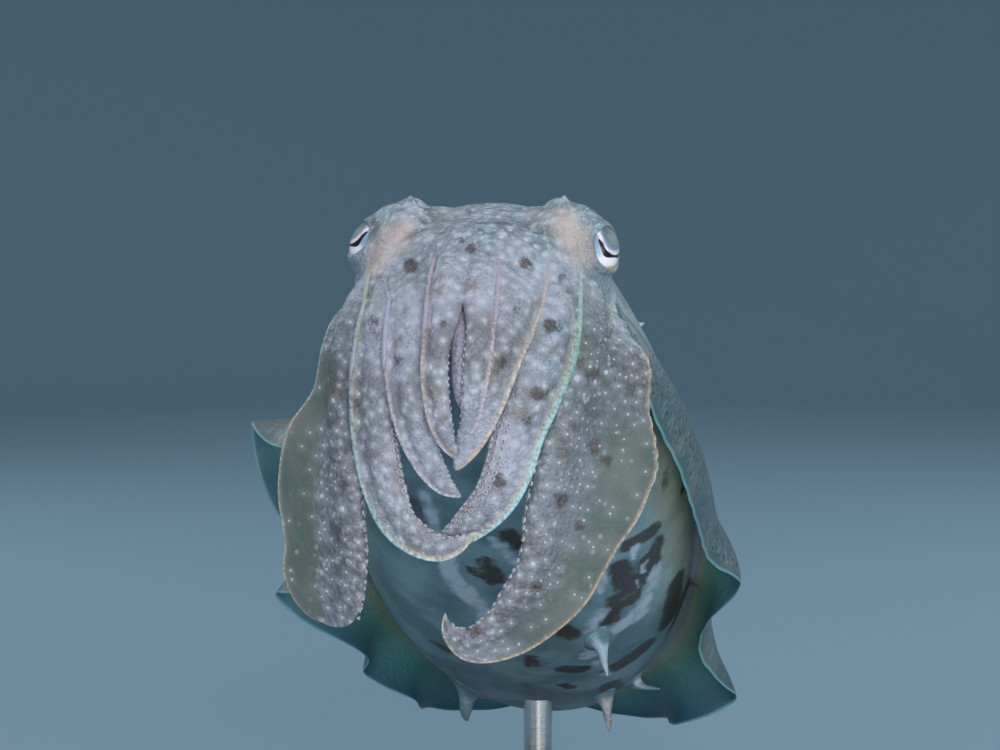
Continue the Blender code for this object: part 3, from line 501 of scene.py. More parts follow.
def fin_face(u, side, shares, face):
    """Points on the upper (1) or lower (-1) face of a fin, from its root to its frilled edge."""
    _, _, up = mantle_axes()
    sign = 1 if side == LEFT else -1
    waves = np.array(FIN_WAVES["left" if side == LEFT else "right"])
    held = np.clip(u, waves[0, 0], waves[-1, 0])
    width = profile(waves[:, :2], held) * MM
    width *= 1 - 0.75 * ease(u, 0.965, 0.995)
    swing = math.radians(profile(waves[:, ::2], held))
    at = np.array([0.0 if side == LEFT else math.pi])
    root = mantle_points(u, at)[0]
    ahead = mantle_points(min(u + 0.008, 0.9995), at)[0]
    out = unit(np.cross(ahead - root, up)) * sign
    top = MANTLE_BACK_HEIGHT * profile(BACK_PROFILE, u)
    half_root = min(FIN_ROOT_HALF, 0.45 * top)
    half_edge = min(FIN_EDGE_HALF, 0.3 * top)
    shares = shares[:, None]
    bend = swing * (FIN_ROOT_STIFFNESS + (1 - FIN_ROOT_STIFFNESS) * shares)
    way = out * np.cos(bend) + up * np.sin(bend)
    normal = up * np.cos(bend) - out * np.sin(bend)
    walked = u * MANTLE_LENGTH
    wobble = 1.5 * math.sin(walked / (21 * MM) + 2 * side)
    frill = math.sin(walked / FRILL_WAVE * 2 * math.pi + wobble + side) * FRILL_HEIGHT * shares ** 4
    half = half_edge + (half_root - half_edge) * (1 - shares) ** 1.2
    half = half * np.sqrt(1 - shares ** 24 * 0.999)
    reach = way * (width + FIN_ROOT_DEPTH) * shares
    return root - out * FIN_ROOT_DEPTH + reach + normal * (half * face + frill)


def inside_mantle(points):
    """Which points lie inside the mantle, and the angle that each has round it."""
    front, back, up = mantle_axes()
    rel = points - front
    across, height = rel[:, 0], rel @ up
    u = np.clip(rel @ back / MANTLE_LENGTH, 0, 0.9995)
    wide = MANTLE_HALF_WIDTH * profile(WIDTH_PROFILE, u)
    tall = np.where(height > 0, MANTLE_BACK_HEIGHT * profile(BACK_PROFILE, u),
                    MANTLE_BELLY_HEIGHT * profile(BELLY_PROFILE, u))
    sin = np.clip(np.abs(height) / tall, 0, 1) ** (1 / BACK_ROUNDNESS)
    reach = wide * np.sqrt(1 - sin ** 2) ** SIDE_ROUNDNESS
    return np.abs(across) < reach, sin, tall


def fin_join(u, side, face):
    """Where a fin's face leaves the mantle: its share of the fin, and the sines of the angles on the
    mantle at the corner and at the end of the fillet."""
    shares = np.linspace(0, 1, 160)
    points = fin_face(u, side, shares, face)
    inside, sin, tall = inside_mantle(points)
    outside = np.nonzero(~inside)[0]
    k = outside[0] if len(outside) else 40
    reach = np.linalg.norm(points - points[k], axis=1)
    fillet = min(FILLET, 0.25 * tall[k])
    beyond = np.nonzero((reach > fillet) & (shares > shares[k]))[0]
    start = shares[beyond[0]] if len(beyond) else 0.8
    end_height = min(sin[k] ** BACK_ROUNDNESS * tall[k] + fillet, 0.8 * tall[k])
    return start, sin[k], (end_height / tall[k]) ** (1 / BACK_ROUNDNESS)


def body_ring(u):
    """One ring of the skin, with the share of the fin's width and the angle at each point."""
    joins = {(side, face): fin_join(u, side, face) for side in (LEFT, RIGHT) for face in (1, -1)}
    ends = {key: math.asin(min(join[2], 0.95)) for key, join in joins.items()}
    corners = {key: math.asin(min(join[1], 0.9)) for key, join in joins.items()}

    def mantle_angle(side, face, value):
        value = value if side == LEFT else math.pi - value
        return value if face == 1 else -value

    def arc(face, count):
        first = mantle_angle(LEFT, face, ends[LEFT, face])
        last = mantle_angle(RIGHT, face, ends[RIGHT, face])
        return np.linspace(first, last, count)

    def half_fin(side, face):
        """From the mantle's arc through the fillet to the fin's edge."""
        start = joins[side, face][0]
        t = np.linspace(0, 1, FILLET_POINTS + 2)[1:-1][:, None]
        from_arc = mantle_points(u, np.array([mantle_angle(side, face, ends[side, face])]))
        corner = mantle_points(u, np.array([mantle_angle(side, face, corners[side, face])]))
        shares = start + (1 - start) * np.sin(np.linspace(0, math.pi / 2, FIN_POINTS))
        surface = fin_face(u, side, shares, face)
        bend = (1 - t) ** 2 * from_arc + 2 * t * (1 - t) * corner + t ** 2 * surface[:1]
        count = FILLET_POINTS + FIN_POINTS
        plain = np.linspace(ends[side, face], 0.06 * ends[side, face], count + 1)[1:]
        angles = np.array([mantle_angle(side, face, a) for a in plain])
        return np.vstack([bend, surface]), np.concatenate([t[:, 0] * 0.02, shares]), angles

    back, belly = arc(1, BACK_POINTS), arc(-1, BELLY_POINTS)[::-1]
    pieces, marks, angles = [mantle_points(u, back)], [np.zeros(BACK_POINTS)], [back]
    order = ((RIGHT, 1, False), (RIGHT, -1, True), None, (LEFT, -1, False), (LEFT, 1, True))
    for step in order:
        if step is None:
            pieces.append(mantle_points(u, belly))
            marks.append(np.zeros(BELLY_POINTS))
            angles.append(belly)
            continue
        side, face, turned = step
        points, share, plain = half_fin(side, face)
        turn = slice(None, None, -1 if turned else 1)
        pieces.append(points[turn])
        marks.append(share[turn])
        angles.append(plain[turn])
    points, share, angle = np.vstack(pieces), np.concatenate(marks), np.concatenate(angles)
    blend = ease(u, *FIN_START) * (1 - ease(u, *FIN_END))
    plain = mantle_points(u, angle)
    return plain + (points - plain) * blend, share * blend, angle


def body_stations():
    middle = np.linspace(0.006, 0.984, BODY_STATIONS - 8)
    return np.concatenate([[0.0015, 0.0035], middle, [0.988, 0.9915, 0.9945, 0.9965, 0.998, 0.999]])


sample_ring, _, _ = body_ring(0.3)
print("a ring of the body's skin has", len(sample_ring), "points")

# %% [markdown]
# ## The skin of the body
#
# The rings become one closed skin, from inside the collar, round its rim and back to the tail. The soft
# spikes called papillae grow out of it: muscles under the skin raise and flatten them on the live animal.
# While the skin is built, each point is given marks that the material reads later, such as how far out
# on the fin it lies and whether a brown or a white patch covers it.

# %% The body
# How deep in the collar each ring of its inner side lies, as shares of its depth.
COLLAR_STEPS = (1.0, 0.72, 0.44, 0.2)
RIM_STEPS = 6
PAPILLA_SIDES = 18
PAPILLA_STEPS = 22
CORNER_ROUNDS = 8
# Strokes of colour on the mantle: share of its length and angle round it at both ends, half width in
# millimetres and strength.
BODY_BROWN = [
    (0.35, -50, 0.35, -37, 3.8, 1.0), (0.38, -36, 0.43, -40, 3.4, 1.0), (0.39, -54, 0.44, -52, 5.2, 1.0),
    (0.40, -42, 0.48, -51, 3.8, 1.0), (0.46, -57, 0.51, -60, 4.4, 1.0), (0.52, -26, 0.62, -28, 6.6, 1.0),
    (0.60, -12, 0.68, -16, 5.5, 0.9), (0.65, -42, 0.68, -57, 6.4, 1.0), (0.76, -56, 0.86, -44, 5.4, 1.0),
    (0.51, -75, 0.53, -74, 4.0, 1.0), (0.64, -77, 0.65, -71, 4.4, 1.0), (0.71, -78, 0.73, -75, 2.8, 1.0),
    (0.59, -88, 0.62, -88, 3.2, 0.8), (0.70, -92, 0.72, -92, 2.6, 0.6), (0.86, -89, 0.92, -80, 3.0, 0.6),
    (0.60, -121, 0.61, -117, 3.2, 0.9), (0.69, -120, 0.80, -128, 2.8, 0.6), (0.34, -95, 0.38, -94, 4.0, 1.0),
    (0.36, -101, 0.37, -98, 2.6, 0.8), (0.28, -88, 0.30, -86, 4.0, 1.0), (0.24, -119, 0.28, -116, 3.6, 0.8),
    (0.33, -12, 0.34, -15, 2.2, 0.9), (0.27, -24, 0.29, -27, 3.0, 0.6),
]
BODY_WHITE = [
    (0.36, -47, 0.38, -48, 2.0, 1.0), (0.44, -38, 0.50, -44, 4.2, 0.8), (0.52, -47, 0.55, -60, 5.5, 0.9),
    (0.56, -61, 0.60, -68, 5.0, 1.0), (0.48, -62, 0.52, -68, 3.6, 0.8), (0.35, -58, 0.43, -62, 2.2, 0.8),
    (0.22, -114, 0.29, -110, 2.6, 0.8), (0.33, -109, 0.40, -106, 4.4, 1.0),
    (0.40, -105, 0.44, -100, 5.0, 1.0), (0.45, -99, 0.50, -97, 4.4, 0.7), (0.29, -92, 0.34, -87, 3.2, 0.8),
    (0.58, -151, 0.66, -137, 2.6, 0.5), (0.66, -137, 0.80, -136, 2.6, 0.5), (0.63, -64, 0.70, -60, 3.2, 0.7),
    (0.405, -43.5, 0.425, -44.5, 1.6, 1.0), (0.44, -47.5, 0.455, -48.5, 1.6, 0.9),
]
# How the colour and the taper of a papilla differ: its place in the list, its tone and its taper.
PAPILLA_TONES = {0: ("white", 0.85), 1: ("red", 0.6), 2: ("white", 0.7), 3: ("teal", 0.35)}


def collar_rings(angle):
    """The inside of the collar, from its floor out to the rim, and round the rim."""
    floor = COLLAR_DEPTH / MANTLE_LENGTH
    rings = [mantle_points(floor * share, angle, COLLAR_WALL, 1 - share) for share in COLLAR_STEPS]
    for step in range(RIM_STEPS):
        turn = math.pi * step / RIM_STEPS
        trim = COLLAR_WALL * 0.5 * (1 + math.cos(turn))
        ahead = COLLAR_WALL * 0.5 * math.sin(turn) / MANTLE_LENGTH
        rings.append(mantle_points(-ahead, angle, trim))
    return rings


def patches(points, rows, soften=0.35):
    """How strongly strokes, given by their two ends, half width and strength, cover each point."""
    cover = np.zeros(len(points))
    for start, end, radius, strength in rows:
        step = end - start
        t = np.clip((points - start) @ step / max(step @ step, 1e-12), 0, 1)
        reach = np.linalg.norm(points - start - t[:, None] * step, axis=1) / radius
        cover = np.maximum(cover, strength * (1 - ease(reach, 1 - soften, 1 + soften)))
    return cover


def on_mantle(rows):
    """The same strokes with their ends as points on the mantle."""
    made = []
    for *ends, radius, strength in rows:
        places = [mantle_points(u, np.array([math.radians(angle)]))[0] for u, angle in (ends[:2], ends[2:])]
        made.append((*places, radius * MM, strength))
    return made


def papilla(u, angle_deg, height, root, lean, taper):
    """A soft spike with a flared foot, and how far up it each of its points lies."""
    angle = math.radians(angle_deg)
    here, ahead, beside = (mantle_points(u + du, np.array([angle + da]))[0]
                           for du, da in ((0, 0), (0.01, 0), (0, 0.02)))
    along_body = unit(ahead - here)
    out = unit(np.cross(along_body, unit(beside - here)))
    side = np.cross(out, along_body)
    turn = round_angles(PAPILLA_SIDES)
    rings, rises = [], np.linspace(-0.2, 1.0, PAPILLA_STEPS)
    for rise in rises:
        up = max(rise, 0.0)
        size = 0.12 + 0.88 * (1 - up) ** taper + 1.3 * math.exp(-up / 0.16) * (1 - up)
        lumps = 1 + 0.10 * np.sin(3 * turn + 9 * rise) + 0.06 * np.sin(5 * turn + 14 * rise)
        centre = here + (out * rise + along_body * lean * up ** 1.6) * height * MM
        ridge = 1 + 0.8 * math.exp(-up / 0.25)
        rings.append(centre + root * MM * size * 0.66 * (np.outer(np.cos(turn) * lumps * ridge, along_body)
                                                        + np.outer(np.sin(turn) * lumps, side)))
    return np.array(rings), np.repeat(np.clip(rises, 0, 1)[:, None], PAPILLA_SIDES, 1)


def make_body(material):
    skin = Skin()
    stations = body_stations()
    made = [body_ring(u) for u in stations]
    inner = collar_rings(made[0][2])
    rings = np.array(inner + [ring for ring, _, _ in made])
    count = len(rings)
    share = np.zeros(rings.shape[:2])
    share[len(inner):] = [s for _, s, _ in made]
    angle = np.array([made[0][2]] * len(inner) + [a for _, _, a in made])
    rings = smooth_corners(rings, share)
    flat = rings.reshape(-1, 3)
    down = np.clip(-np.sin(angle).ravel() * 2.2 + 0.25, 0, 1) * (1 - 0.4 * share.ravel())
    lengthwise = np.repeat(np.concatenate([np.zeros(len(inner)), stations]), rings.shape[1])
    below = np.degrees(np.arcsin(np.clip(np.sin(angle), -1, 1)))
    flank = np.exp(-((below + 19) / 15) ** 2) * (1 - 0.8 * ease(lengthwise.reshape(share.shape), 0.40, 0.62))
    half = FILLET_POINTS + FIN_POINTS
    under = np.zeros(share.shape)
    under[:, BACK_POINTS + half:BACK_POINTS + 3 * half + BELLY_POINTS] = 1
    skin.grid(rings, fin=share, belly=down.reshape(share.shape), lengthwise=lengthwise.reshape(share.shape),
              flank=flank, under=under, keel=np.zeros((*share.shape, 4)),
              brown=patches(flat, on_mantle(BODY_BROWN)).reshape(share.shape),
              white=patches(flat, on_mantle(BODY_WHITE), 0.6).reshape(share.shape))
    for k, row in enumerate(PAPILLAE):
        tone, taper = PAPILLA_TONES.get(k, ("plain", 0.85))
        spike, rise = papilla(*row, taper)
        lower = np.full(rise.shape, 1.0 if row[1] < 0 else 0.0)
        pale = {"white": 1.3, "teal": 0.35}.get(tone, 0.6)
        streaks = 0.3 * np.sin(np.arange(PAPILLA_SIDES) / PAPILLA_SIDES * 4 * math.pi + k)
        skin.grid(spike, belly=lower, white=pale * (ease(rise, -0.1, 0.35) + streaks), under=lower,
                  brown=(0.5 if tone == "red" else 0.0) * ease(rise, 0.0, 0.4),
                  peach=(1.1 if tone == "red" else 0.0) * ease(rise, 0.0, 0.3),
                  keel=np.zeros((*rise.shape, 4)))
    body = skin.build("body_skin", material)
    print("the body's skin has", count, "rings and", len(body.data.polygons), "faces")
    return body


def smooth_corners(rings, share):
    """Eases the rings lengthwise and round them where the fin leaves the body."""
    near = np.clip(1 - np.abs(share - 0.03) / 0.10, 0, 1)[..., None] * (share[..., None] < 0.14)
    corner = np.zeros(near.shape)
    for shift in (-3, -2, -1, 0, 1, 2, 3):
        corner = np.maximum(corner, np.roll((share > 0)[..., None] & (share < 0.06)[..., None], shift, 1))
    weight = np.maximum(near, corner) * 0.5
    for _ in range(CORNER_ROUNDS):
        beside = (np.roll(rings, 1, 1) + np.roll(rings, -1, 1)) / 2
        rings = rings + (beside - rings) * weight
    return rings

# %% [markdown]
# ## The arms
#
# A cuttlefish's arm is a muscular rod with a thin keel along its outer side and suckers along its inner
# one. The lowest pair has keels so wide that they hang like leaves. Each arm is swept along its route
# with one outline: a round core that melts into a blade. The blade's edge is frilled and coloured.

# %% Arms, tentacles and funnel
ARM_STATIONS = 120
ARM_HALF_POINTS = 23
TENTACLE_STEPS = 40
TENTACLE_SIDES = 24
FUNNEL_STEPS = 30
FUNNEL_SIDES = 48
# Where each keel's bright line starts on the head: across and down in millimetres.
KEEL_STARTS = {
    "right_1": [(-14, -4.5), (-15, 4), (-17.5, 14)], "left_1": [(5, -2), (3.5, 6), (3, 14)],
    "left_2": [(22, 1.5), (20.5, 10), (18, 17)], "left_3": [(28.8, -4), (30.5, 6), (31, 13)],
    "right_2": [(-30.8, 7.5), (-31.2, 15), (-31.5, 21)], "right_3": [(-33.7, -4), (-35.6, 0.5), (-37, 9)],
}
# Colours along each keel from the head to the tip, linear red, green and blue, and the line's width.
KEEL_COLOURS = {
    "right_1": (0.8, [(0.46, 0.34, 0.39), (0.41, 0.33, 0.38), (0.44, 0.38, 0.44), (0.54, 0.52, 0.58)]),
    "left_1": (0.8, [(0.45, 0.33, 0.38), (0.41, 0.33, 0.39), (0.42, 0.37, 0.43), (0.52, 0.50, 0.56)]),
    "right_2": (0.9, [(0.34, 0.33, 0.44), (0.34, 0.36, 0.50), (0.42, 0.46, 0.58), (0.52, 0.60, 0.66)]),
    "left_2": (1.1, [(0.50, 0.35, 0.28), (0.50, 0.40, 0.32), (0.54, 0.55, 0.50), (0.60, 0.40, 0.27)]),
    "right_3": (1.2, [(0.50, 0.34, 0.19), (0.38, 0.42, 0.25), (0.30, 0.38, 0.46), (0.32, 0.58, 0.64),
                      (0.36, 0.64, 0.64), (0.60, 0.54, 0.36)]),
    "left_3": (1.8, [(0.44, 0.46, 0.30), (0.34, 0.48, 0.38), (0.27, 0.52, 0.48), (0.34, 0.62, 0.62),
                     (0.36, 0.66, 0.70), (0.60, 0.54, 0.42)]),
    "right_4": (0.5, [(0.44, 0.52, 0.54), (0.46, 0.62, 0.64), (0.48, 0.62, 0.62), (0.58, 0.48, 0.38)]),
    "left_4": (0.6, [(0.46, 0.46, 0.42), (0.58, 0.44, 0.34), (0.64, 0.62, 0.58), (0.58, 0.42, 0.34),
                     (0.60, 0.54, 0.48)]),
}
KEEL_WARM = (0.50, 0.36, 0.25)
SCALLOPS = {"left_4": (0.20, 0.44, 5.2 * MM, 0.8 * MM)}
TIP_FULLNESS = {"right_4": 2.4}
TIP_DRIFT = {"right_4": 0.5}
# How far the edge of a wide arm is drawn in, or let out where negative: shares of its length and
# millimetres.
WEB_TRIM = {"left_4": [(0.06, 0), (0.14, -3.6), (0.20, -1.6), (0.29, -2.0), (0.34, -3.3), (0.385, -2.0),
                       (0.42, 0.4), (0.455, 2.2), (0.49, 4.4), (0.53, 5.8), (0.60, 5.4), (0.66, 4.5),
                       (0.72, 4.2), (0.76, 4.4), (0.80, 3.3), (0.90, 3.4), (0.96, 1.5), (1.0, 0)]}
WEB_EASE = 8
# How far each arm reaches in under the one in front of it, and the shares of its length over which it
# draws back until its own inner side lies free.
TUCKS = {"right_1": (2.3, 0.42, 0.62), "left_1": (2.6, 0.36, 0.56), "right_2": (6.0, 0.48, 0.66),
         "left_2": (7.0, 0.52, 0.72), "right_3": (7.0, 0.32, 0.52), "left_3": (6.0, 0.36, 0.52),
         "right_4": (7.0, 0.22, 0.40), "left_4": (7.0, 0.22, 0.40)}


def eased(rows, reach=WEB_EASE):
    """Rows averaged with their neighbours, the nearest counting most."""
    kernel = np.hanning(2 * reach + 1)
    kernel /= kernel.sum()
    columns = np.reshape(rows, (len(rows), -1)).T
    flat = [np.convolve(np.pad(column, reach, mode="edge"), kernel, mode="valid") for column in columns]
    return np.reshape(np.transpose(flat), np.shape(rows))


def slimmed(thick, left):
    """Half the thickness of an arm where the share left of it still lies ahead."""
    return thick * min(1.0, TIP_SLIMNESS + 0.9 * left)


def arm_frames(name):
    """An arm's spine, its ways to the keel and out of the face, and its sizes."""
    side, thickness, _, route = ARMS[name]
    rows = along(route, ARM_STATIONS)
    spine = from_face(rows[:, :3])
    tangent = unit(np.gradient(spine, axis=0))
    share = np.clip((rows[:, 1] - CROWN_TOP[1]) / (CROWN_FOOT[1] - CROWN_TOP[1]), 0, 1)
    axis = CROWN_TOP + np.outer(share, CROWN_FOOT - CROWN_TOP)
    away = (rows[:, :3] - axis) * [SIDE_TURN_SHARE, 1, 1] @ np.stack([ACROSS, DOWN, FORWARD])
    face = unit(away - (away * tangent).sum(1, keepdims=True) * tangent)
    keel = side * np.cross(face, tangent)
    if name.endswith("4"):
        keel = unit(eased(keel, 2 * WEB_EASE))
    return spine, keel, face, rows[:, 3] * MM, rows[:, 4] * MM, thickness * MM


def arm_height(x, core, reach, thick, tuck=0.0):
    """Half the thickness at distance x from the spine, positive toward the keel."""
    inner = np.where(x > 0, core, core + tuck)
    round_core = thick * np.sqrt(np.clip(1 - (x / inner) ** 2, 0, 1))
    out = np.clip(x / reach, 0, 1)
    edge = min(ARM_EDGE, 0.4 * thick)
    web = (edge + 0.35 * (thick - edge) * (1 - out) ** 2) * np.sqrt(np.clip(1 - out ** 10, 0, 1))
    web = np.where(x > 0, web, edge * np.sqrt(np.clip(1 - (x / inner) ** 2, 0, 1)))
    return (round_core ** 3 + web ** 3) ** (1 / 3)


def arm_form(name, fatness=(1.0, 1.0), last_share=1.0):
    """Rings of one arm, with the share of its length and its place from core to keel at each point."""
    spine, keel, face, core, web, thick = arm_frames(name)
    turn = np.linspace(0, math.pi, ARM_HALF_POINTS)
    walked = np.concatenate([[0], np.cumsum(np.linalg.norm(np.diff(spine, axis=0), axis=1))])
    seed = 3.1 * list(ARMS).index(name)
    if name.endswith("4"):
        trim = np.interp(np.linspace(0, 1, len(web)), *zip(*WEB_TRIM.get(name, [(0, 0)]))) * MM
        web = eased(np.maximum(web - trim, 0))
    rings, across = [], []
    stations = range(int(ARM_STATIONS * last_share))
    for k in stations:
        left = (ARM_STATIONS - 1 - k) / (ARM_STATIONS - 1)
        tip = min(1.0, left / ARMS[name][2])
        fullness = TIP_FULLNESS.get(name, 2.0)
        round_tip = max(0.06, (1 - (1 - tip) ** fullness) ** (1 / fullness))
        here = core[k] * round_tip
        reach = here + web[k] * round_tip
        if name in SCALLOPS:
            first, last, wave, height = SCALLOPS[name]
            within = ease(1 - left, first - 0.05, first) * (1 - ease(1 - left, last, last + 0.05))
            reach += height * within * abs(math.sin(math.pi * walked[k] / wave))
        slim = slimmed(thick, left) * round_tip * np.interp(1 - left, (0, last_share), fatness)
        tuck, free_from, free_to = TUCKS[name]
        tuck *= (1 - ease(1 - left, free_from, free_to)) * MM
        x = (reach - here - tuck) / 2 + (reach + here + tuck) / 2 * np.cos(turn)
        y = arm_height(x, here, reach, slim, tuck)
        out = np.clip(x / max(reach, 1e-6), 0, 1)
        ruffle = math.sin(walked[k] / (7.5 * MM) + seed) + 0.6 * math.sin(walked[k] / (4.1 * MM) + 2 * seed)
        bow = 0.6 * MM * ruffle * out ** 3 * min(1.0, web[k] / (12 * MM)) * round_tip
        x = x + TIP_DRIFT.get(name, 0.0) * (1 - round_tip) * web[k] / 2
        front = spine[k] + np.outer(x, keel[k]) + np.outer(y + bow, face[k])
        behind = spine[k] + np.outer(x[-2:0:-1], keel[k]) + np.outer(-y[-2:0:-1] + bow[-2:0:-1], face[k])
        rings.append(np.vstack([front, behind]))
        from_edge = x.max() - x
        across.append(np.concatenate([from_edge, from_edge[-2:0:-1]]))
    rings = np.array(rings)
    length = np.repeat((np.array(stations) / (ARM_STATIONS - 1))[:, None], rings.shape[1], 1)
    return rings, length, np.array(across)


def keel_paint(name, length, from_edge):
    """The colour of the keel's bright line, and in its alpha how strong it is."""
    width, colours = KEEL_COLOURS[name]
    stops = np.linspace(0, 1, len(colours))
    paint = np.stack([np.interp(length, stops, channel) for channel in np.array(colours).T], -1)
    warm = 0.75 * ease(from_edge / MM, 0.55 * width, width)[..., None]
    paint = paint * (1 - warm) + np.array(KEEL_WARM) * warm
    strength = 1 - ease(from_edge / MM, 0.9 * width, 1.9 * width)
    return np.concatenate([paint, strength[..., None]], -1)


def tentacle_form(route):
    """The tip of a feeding tentacle, which peeps out between the first arms."""
    rows = along(route, TENTACLE_STEPS)
    spine = from_face(rows[:, :3])
    tangent = unit(np.gradient(spine, axis=0))
    first = unit(np.cross(tangent, FORWARD))
    second = np.cross(tangent, first)
    turn = round_angles(TENTACLE_SIDES)
    share = np.linspace(0, 1, TENTACLE_STEPS)
    size = rows[:, 3] * MM * np.sqrt(np.clip(1 - np.clip((share - 0.62) / 0.385, 0, 1) ** 2, 0.004, 1))
    return (spine[:, None] + size[:, None, None] * (np.cos(turn)[None, :, None] * first[:, None]
                                                    + np.sin(turn)[None, :, None] * second[:, None]))


def funnel_form():
    """The funnel that steers the animal, a short cone with an open, rolled mouth."""
    rows = along(FUNNEL, FUNNEL_STEPS)
    spine = from_face(rows[:, :3])
    tangent = unit(np.gradient(spine, axis=0))
    height_way = unit(np.cross(tangent, [1, 0, 0]))
    turn = round_angles(FUNNEL_SIDES)

    def ring(k, trim, back):
        return (spine[k] - tangent[k] * back + np.outer(np.cos(turn) * (rows[k, 3] * MM - trim), [1, 0, 0])
                + np.outer(np.sin(turn) * (rows[k, 4] * MM - trim), height_way[k]))

    rings = [ring(k, 0.0, 0.0) for k in range(len(rows))]
    for step in range(1, 7):
        lip = math.pi * step / 6
        rings.append(ring(-1, FUNNEL_WALL * 0.5 * (1 - math.cos(lip)), -0.5 * FUNNEL_WALL * math.sin(lip)))
    rings += [ring(-1, FUNNEL_WALL, FUNNEL_MOUTH_DEPTH * share) for share in (0.3, 0.6, 0.9, 1.0)]
    return np.array(rings)


longest = np.linalg.norm(np.diff(arm_frames("left_4")[0], axis=0), axis=1).sum()
print("the longest arm is", round(float(longest / MM)), "mm")

# %% [markdown]
# ## The head
#
# Bone and muscle fill a head with rounded forms that flow together: the cranium, the crown that the
# arms grow from, and a bulge with a brow round each eye. Spheres and arm roots are melted into one
# skin here, and smoothed until every corner between them is a soft fillet. The skin is then pressed on
# to the eyeballs, and a fold of skin is laid round each opening for the lids.

# %% The head
HEAD_VOXEL = 0.9 * MM
HEAD_SMOOTHING = 12
NECK_SIDES = 48
HORN_SIDES = 18
ROOT_FATNESS = (1.12, 0.86)
ROOT_SHARE = {"1": 0.42, "2": 0.4, "3": 0.32, "4": 0.24}
EYE_LOOKS = {1: [0.92, -0.39, 0.12], -1: [-0.92, -0.39, 0.46]}
LID_HALF_WIDTH = 9.1 * MM
LID_HALF_HEIGHT = {1: 7.5 * MM, -1: 6.5 * MM}
ORBIT = 8.0 * MM
SKIN_ON_EYE = 0.8 * MM
LID_STEPS = 96
KEEL_RIDGE = 0.62 * MM
KEEL_SIDES = 12
KEEL_SMOOTHING = 14
KEEL_JOINS = {"1": (0.26, 0.58), "2": (0.26, 0.56), "3": (0.2, 0.46)}


def ball(centre_mm, radii_mm, sign=1, around=48, steps=26):
    """Rings of an ellipsoid from pole to pole, set out from the eye midpoint."""
    turn = round_angles(around)
    rings = []
    for lift in np.linspace(-math.pi / 2, math.pi / 2, steps + 2)[1:-1]:
        ring = np.stack([np.cos(lift) * np.cos(turn), np.cos(lift) * np.sin(turn),
                         np.full(around, math.sin(lift))], 1)
        rings.append(EYE_MIDPOINT + (np.array(centre_mm) * [sign, 1, 1] + ring * radii_mm) * MM)
    return rings


def neck_form():
    """The neck, from inside the cranium to the floor of the mantle's collar."""
    front, back, up = mantle_axes()
    end = front + back * (COLLAR_DEPTH + MM)
    turn = round_angles(NECK_SIDES)
    rings = []
    for share, size in ((1.0, 0.7), (0.5, 0.85), (0.15, 0.97), (0.0, 1.0)):
        centre = end - back * NECK_LENGTH * share
        rings.append(centre + np.outer(np.cos(turn) * NECK_HALF_WIDTH * size, [1, 0, 0])
                     + np.outer(np.sin(turn) * NECK_HALF_HEIGHT * size, up))
    return rings


def apply(target, modifiers):
    """Runs modifiers, given as (kind, settings), on an object and keeps the result as its mesh."""
    for kind, settings in modifiers:
        modifier = target.modifiers.new(kind.lower(), kind)
        for key, value in settings.items():
            setattr(modifier, key, value)
    result = evaluated_mesh(target)
    target.modifiers.clear()
    target.data = result
    result.shade_smooth()


def melted_head():
    """Points and faces of the head, neck and arm roots, melted together and smoothed."""
    lump = Skin()
    lump.grid(ball(*CRANIUM))
    lump.grid(ball(*CROWN))
    for sign in (1, -1):
        lump.grid(ball(*EYE_BULGE, sign))
        for form in (BROW, SHOULDER, CHEEK, JOWL):
            lump.grid(ball(*form, sign))
    lump.grid(neck_form())
    for name in ARMS:
        lump.grid(arm_form(name, ROOT_FATNESS, ROOT_SHARE[name[-1]])[0])
    melted = lump.build("melted", bpy.data.materials.new("melting"))
    apply(melted, [("REMESH", {"mode": "VOXEL", "voxel_size": HEAD_VOXEL}),
                   ("SMOOTH", {"factor": 0.6, "iterations": HEAD_SMOOTHING})])
    points = np.array([v.co for v in melted.data.vertices])
    faces = [tuple(p.vertices) for p in melted.data.polygons]
    bpy.data.objects.remove(melted)
    return points, faces


def eye_axes(sign):
    """The middle of an eye, the way that it looks, and the ways across and up its opening."""
    centre = EYE_MIDPOINT + EYE_CENTRE * [sign, 1, 1]
    looks = unit(np.array(EYE_LOOKS[sign]))
    across = unit(np.cross(UP, looks))
    return centre, looks, across, np.cross(looks, across)


def press_on_eye(points, sign):
    """Draws the skin round an eye down to the eyeball, and sinks it where the lids leave the eye open."""
    centre, looks, across, up = eye_axes(sign)
    away = points - centre
    reach = np.linalg.norm(away, axis=1)
    way = away / reach[:, None]
    tilt = np.arccos(np.clip(way @ looks, -1, 1)) * EYE_RADIUS
    side, rise = way @ across, way @ up
    flat = np.hypot(side, rise) + 1e-9
    edge = 1 / np.sqrt((side / flat / LID_HALF_WIDTH) ** 2 + (rise / flat / LID_HALF_HEIGHT[sign]) ** 2)
    beyond = tilt - edge
    lying = EYE_RADIUS + SKIN_ON_EYE
    share = ease(beyond, 1.0 * MM, ORBIT)
    blended = lying + (np.maximum(reach, lying) - lying) * share
    near = (beyond < ORBIT) & (reach > 0.6 * EYE_RADIUS)
    reach = np.where(near, blended, reach)
    reach = np.where(near & (beyond < 0.9 * MM), EYE_RADIUS - 1.2 * MM, reach)
    return centre + way * reach[:, None]


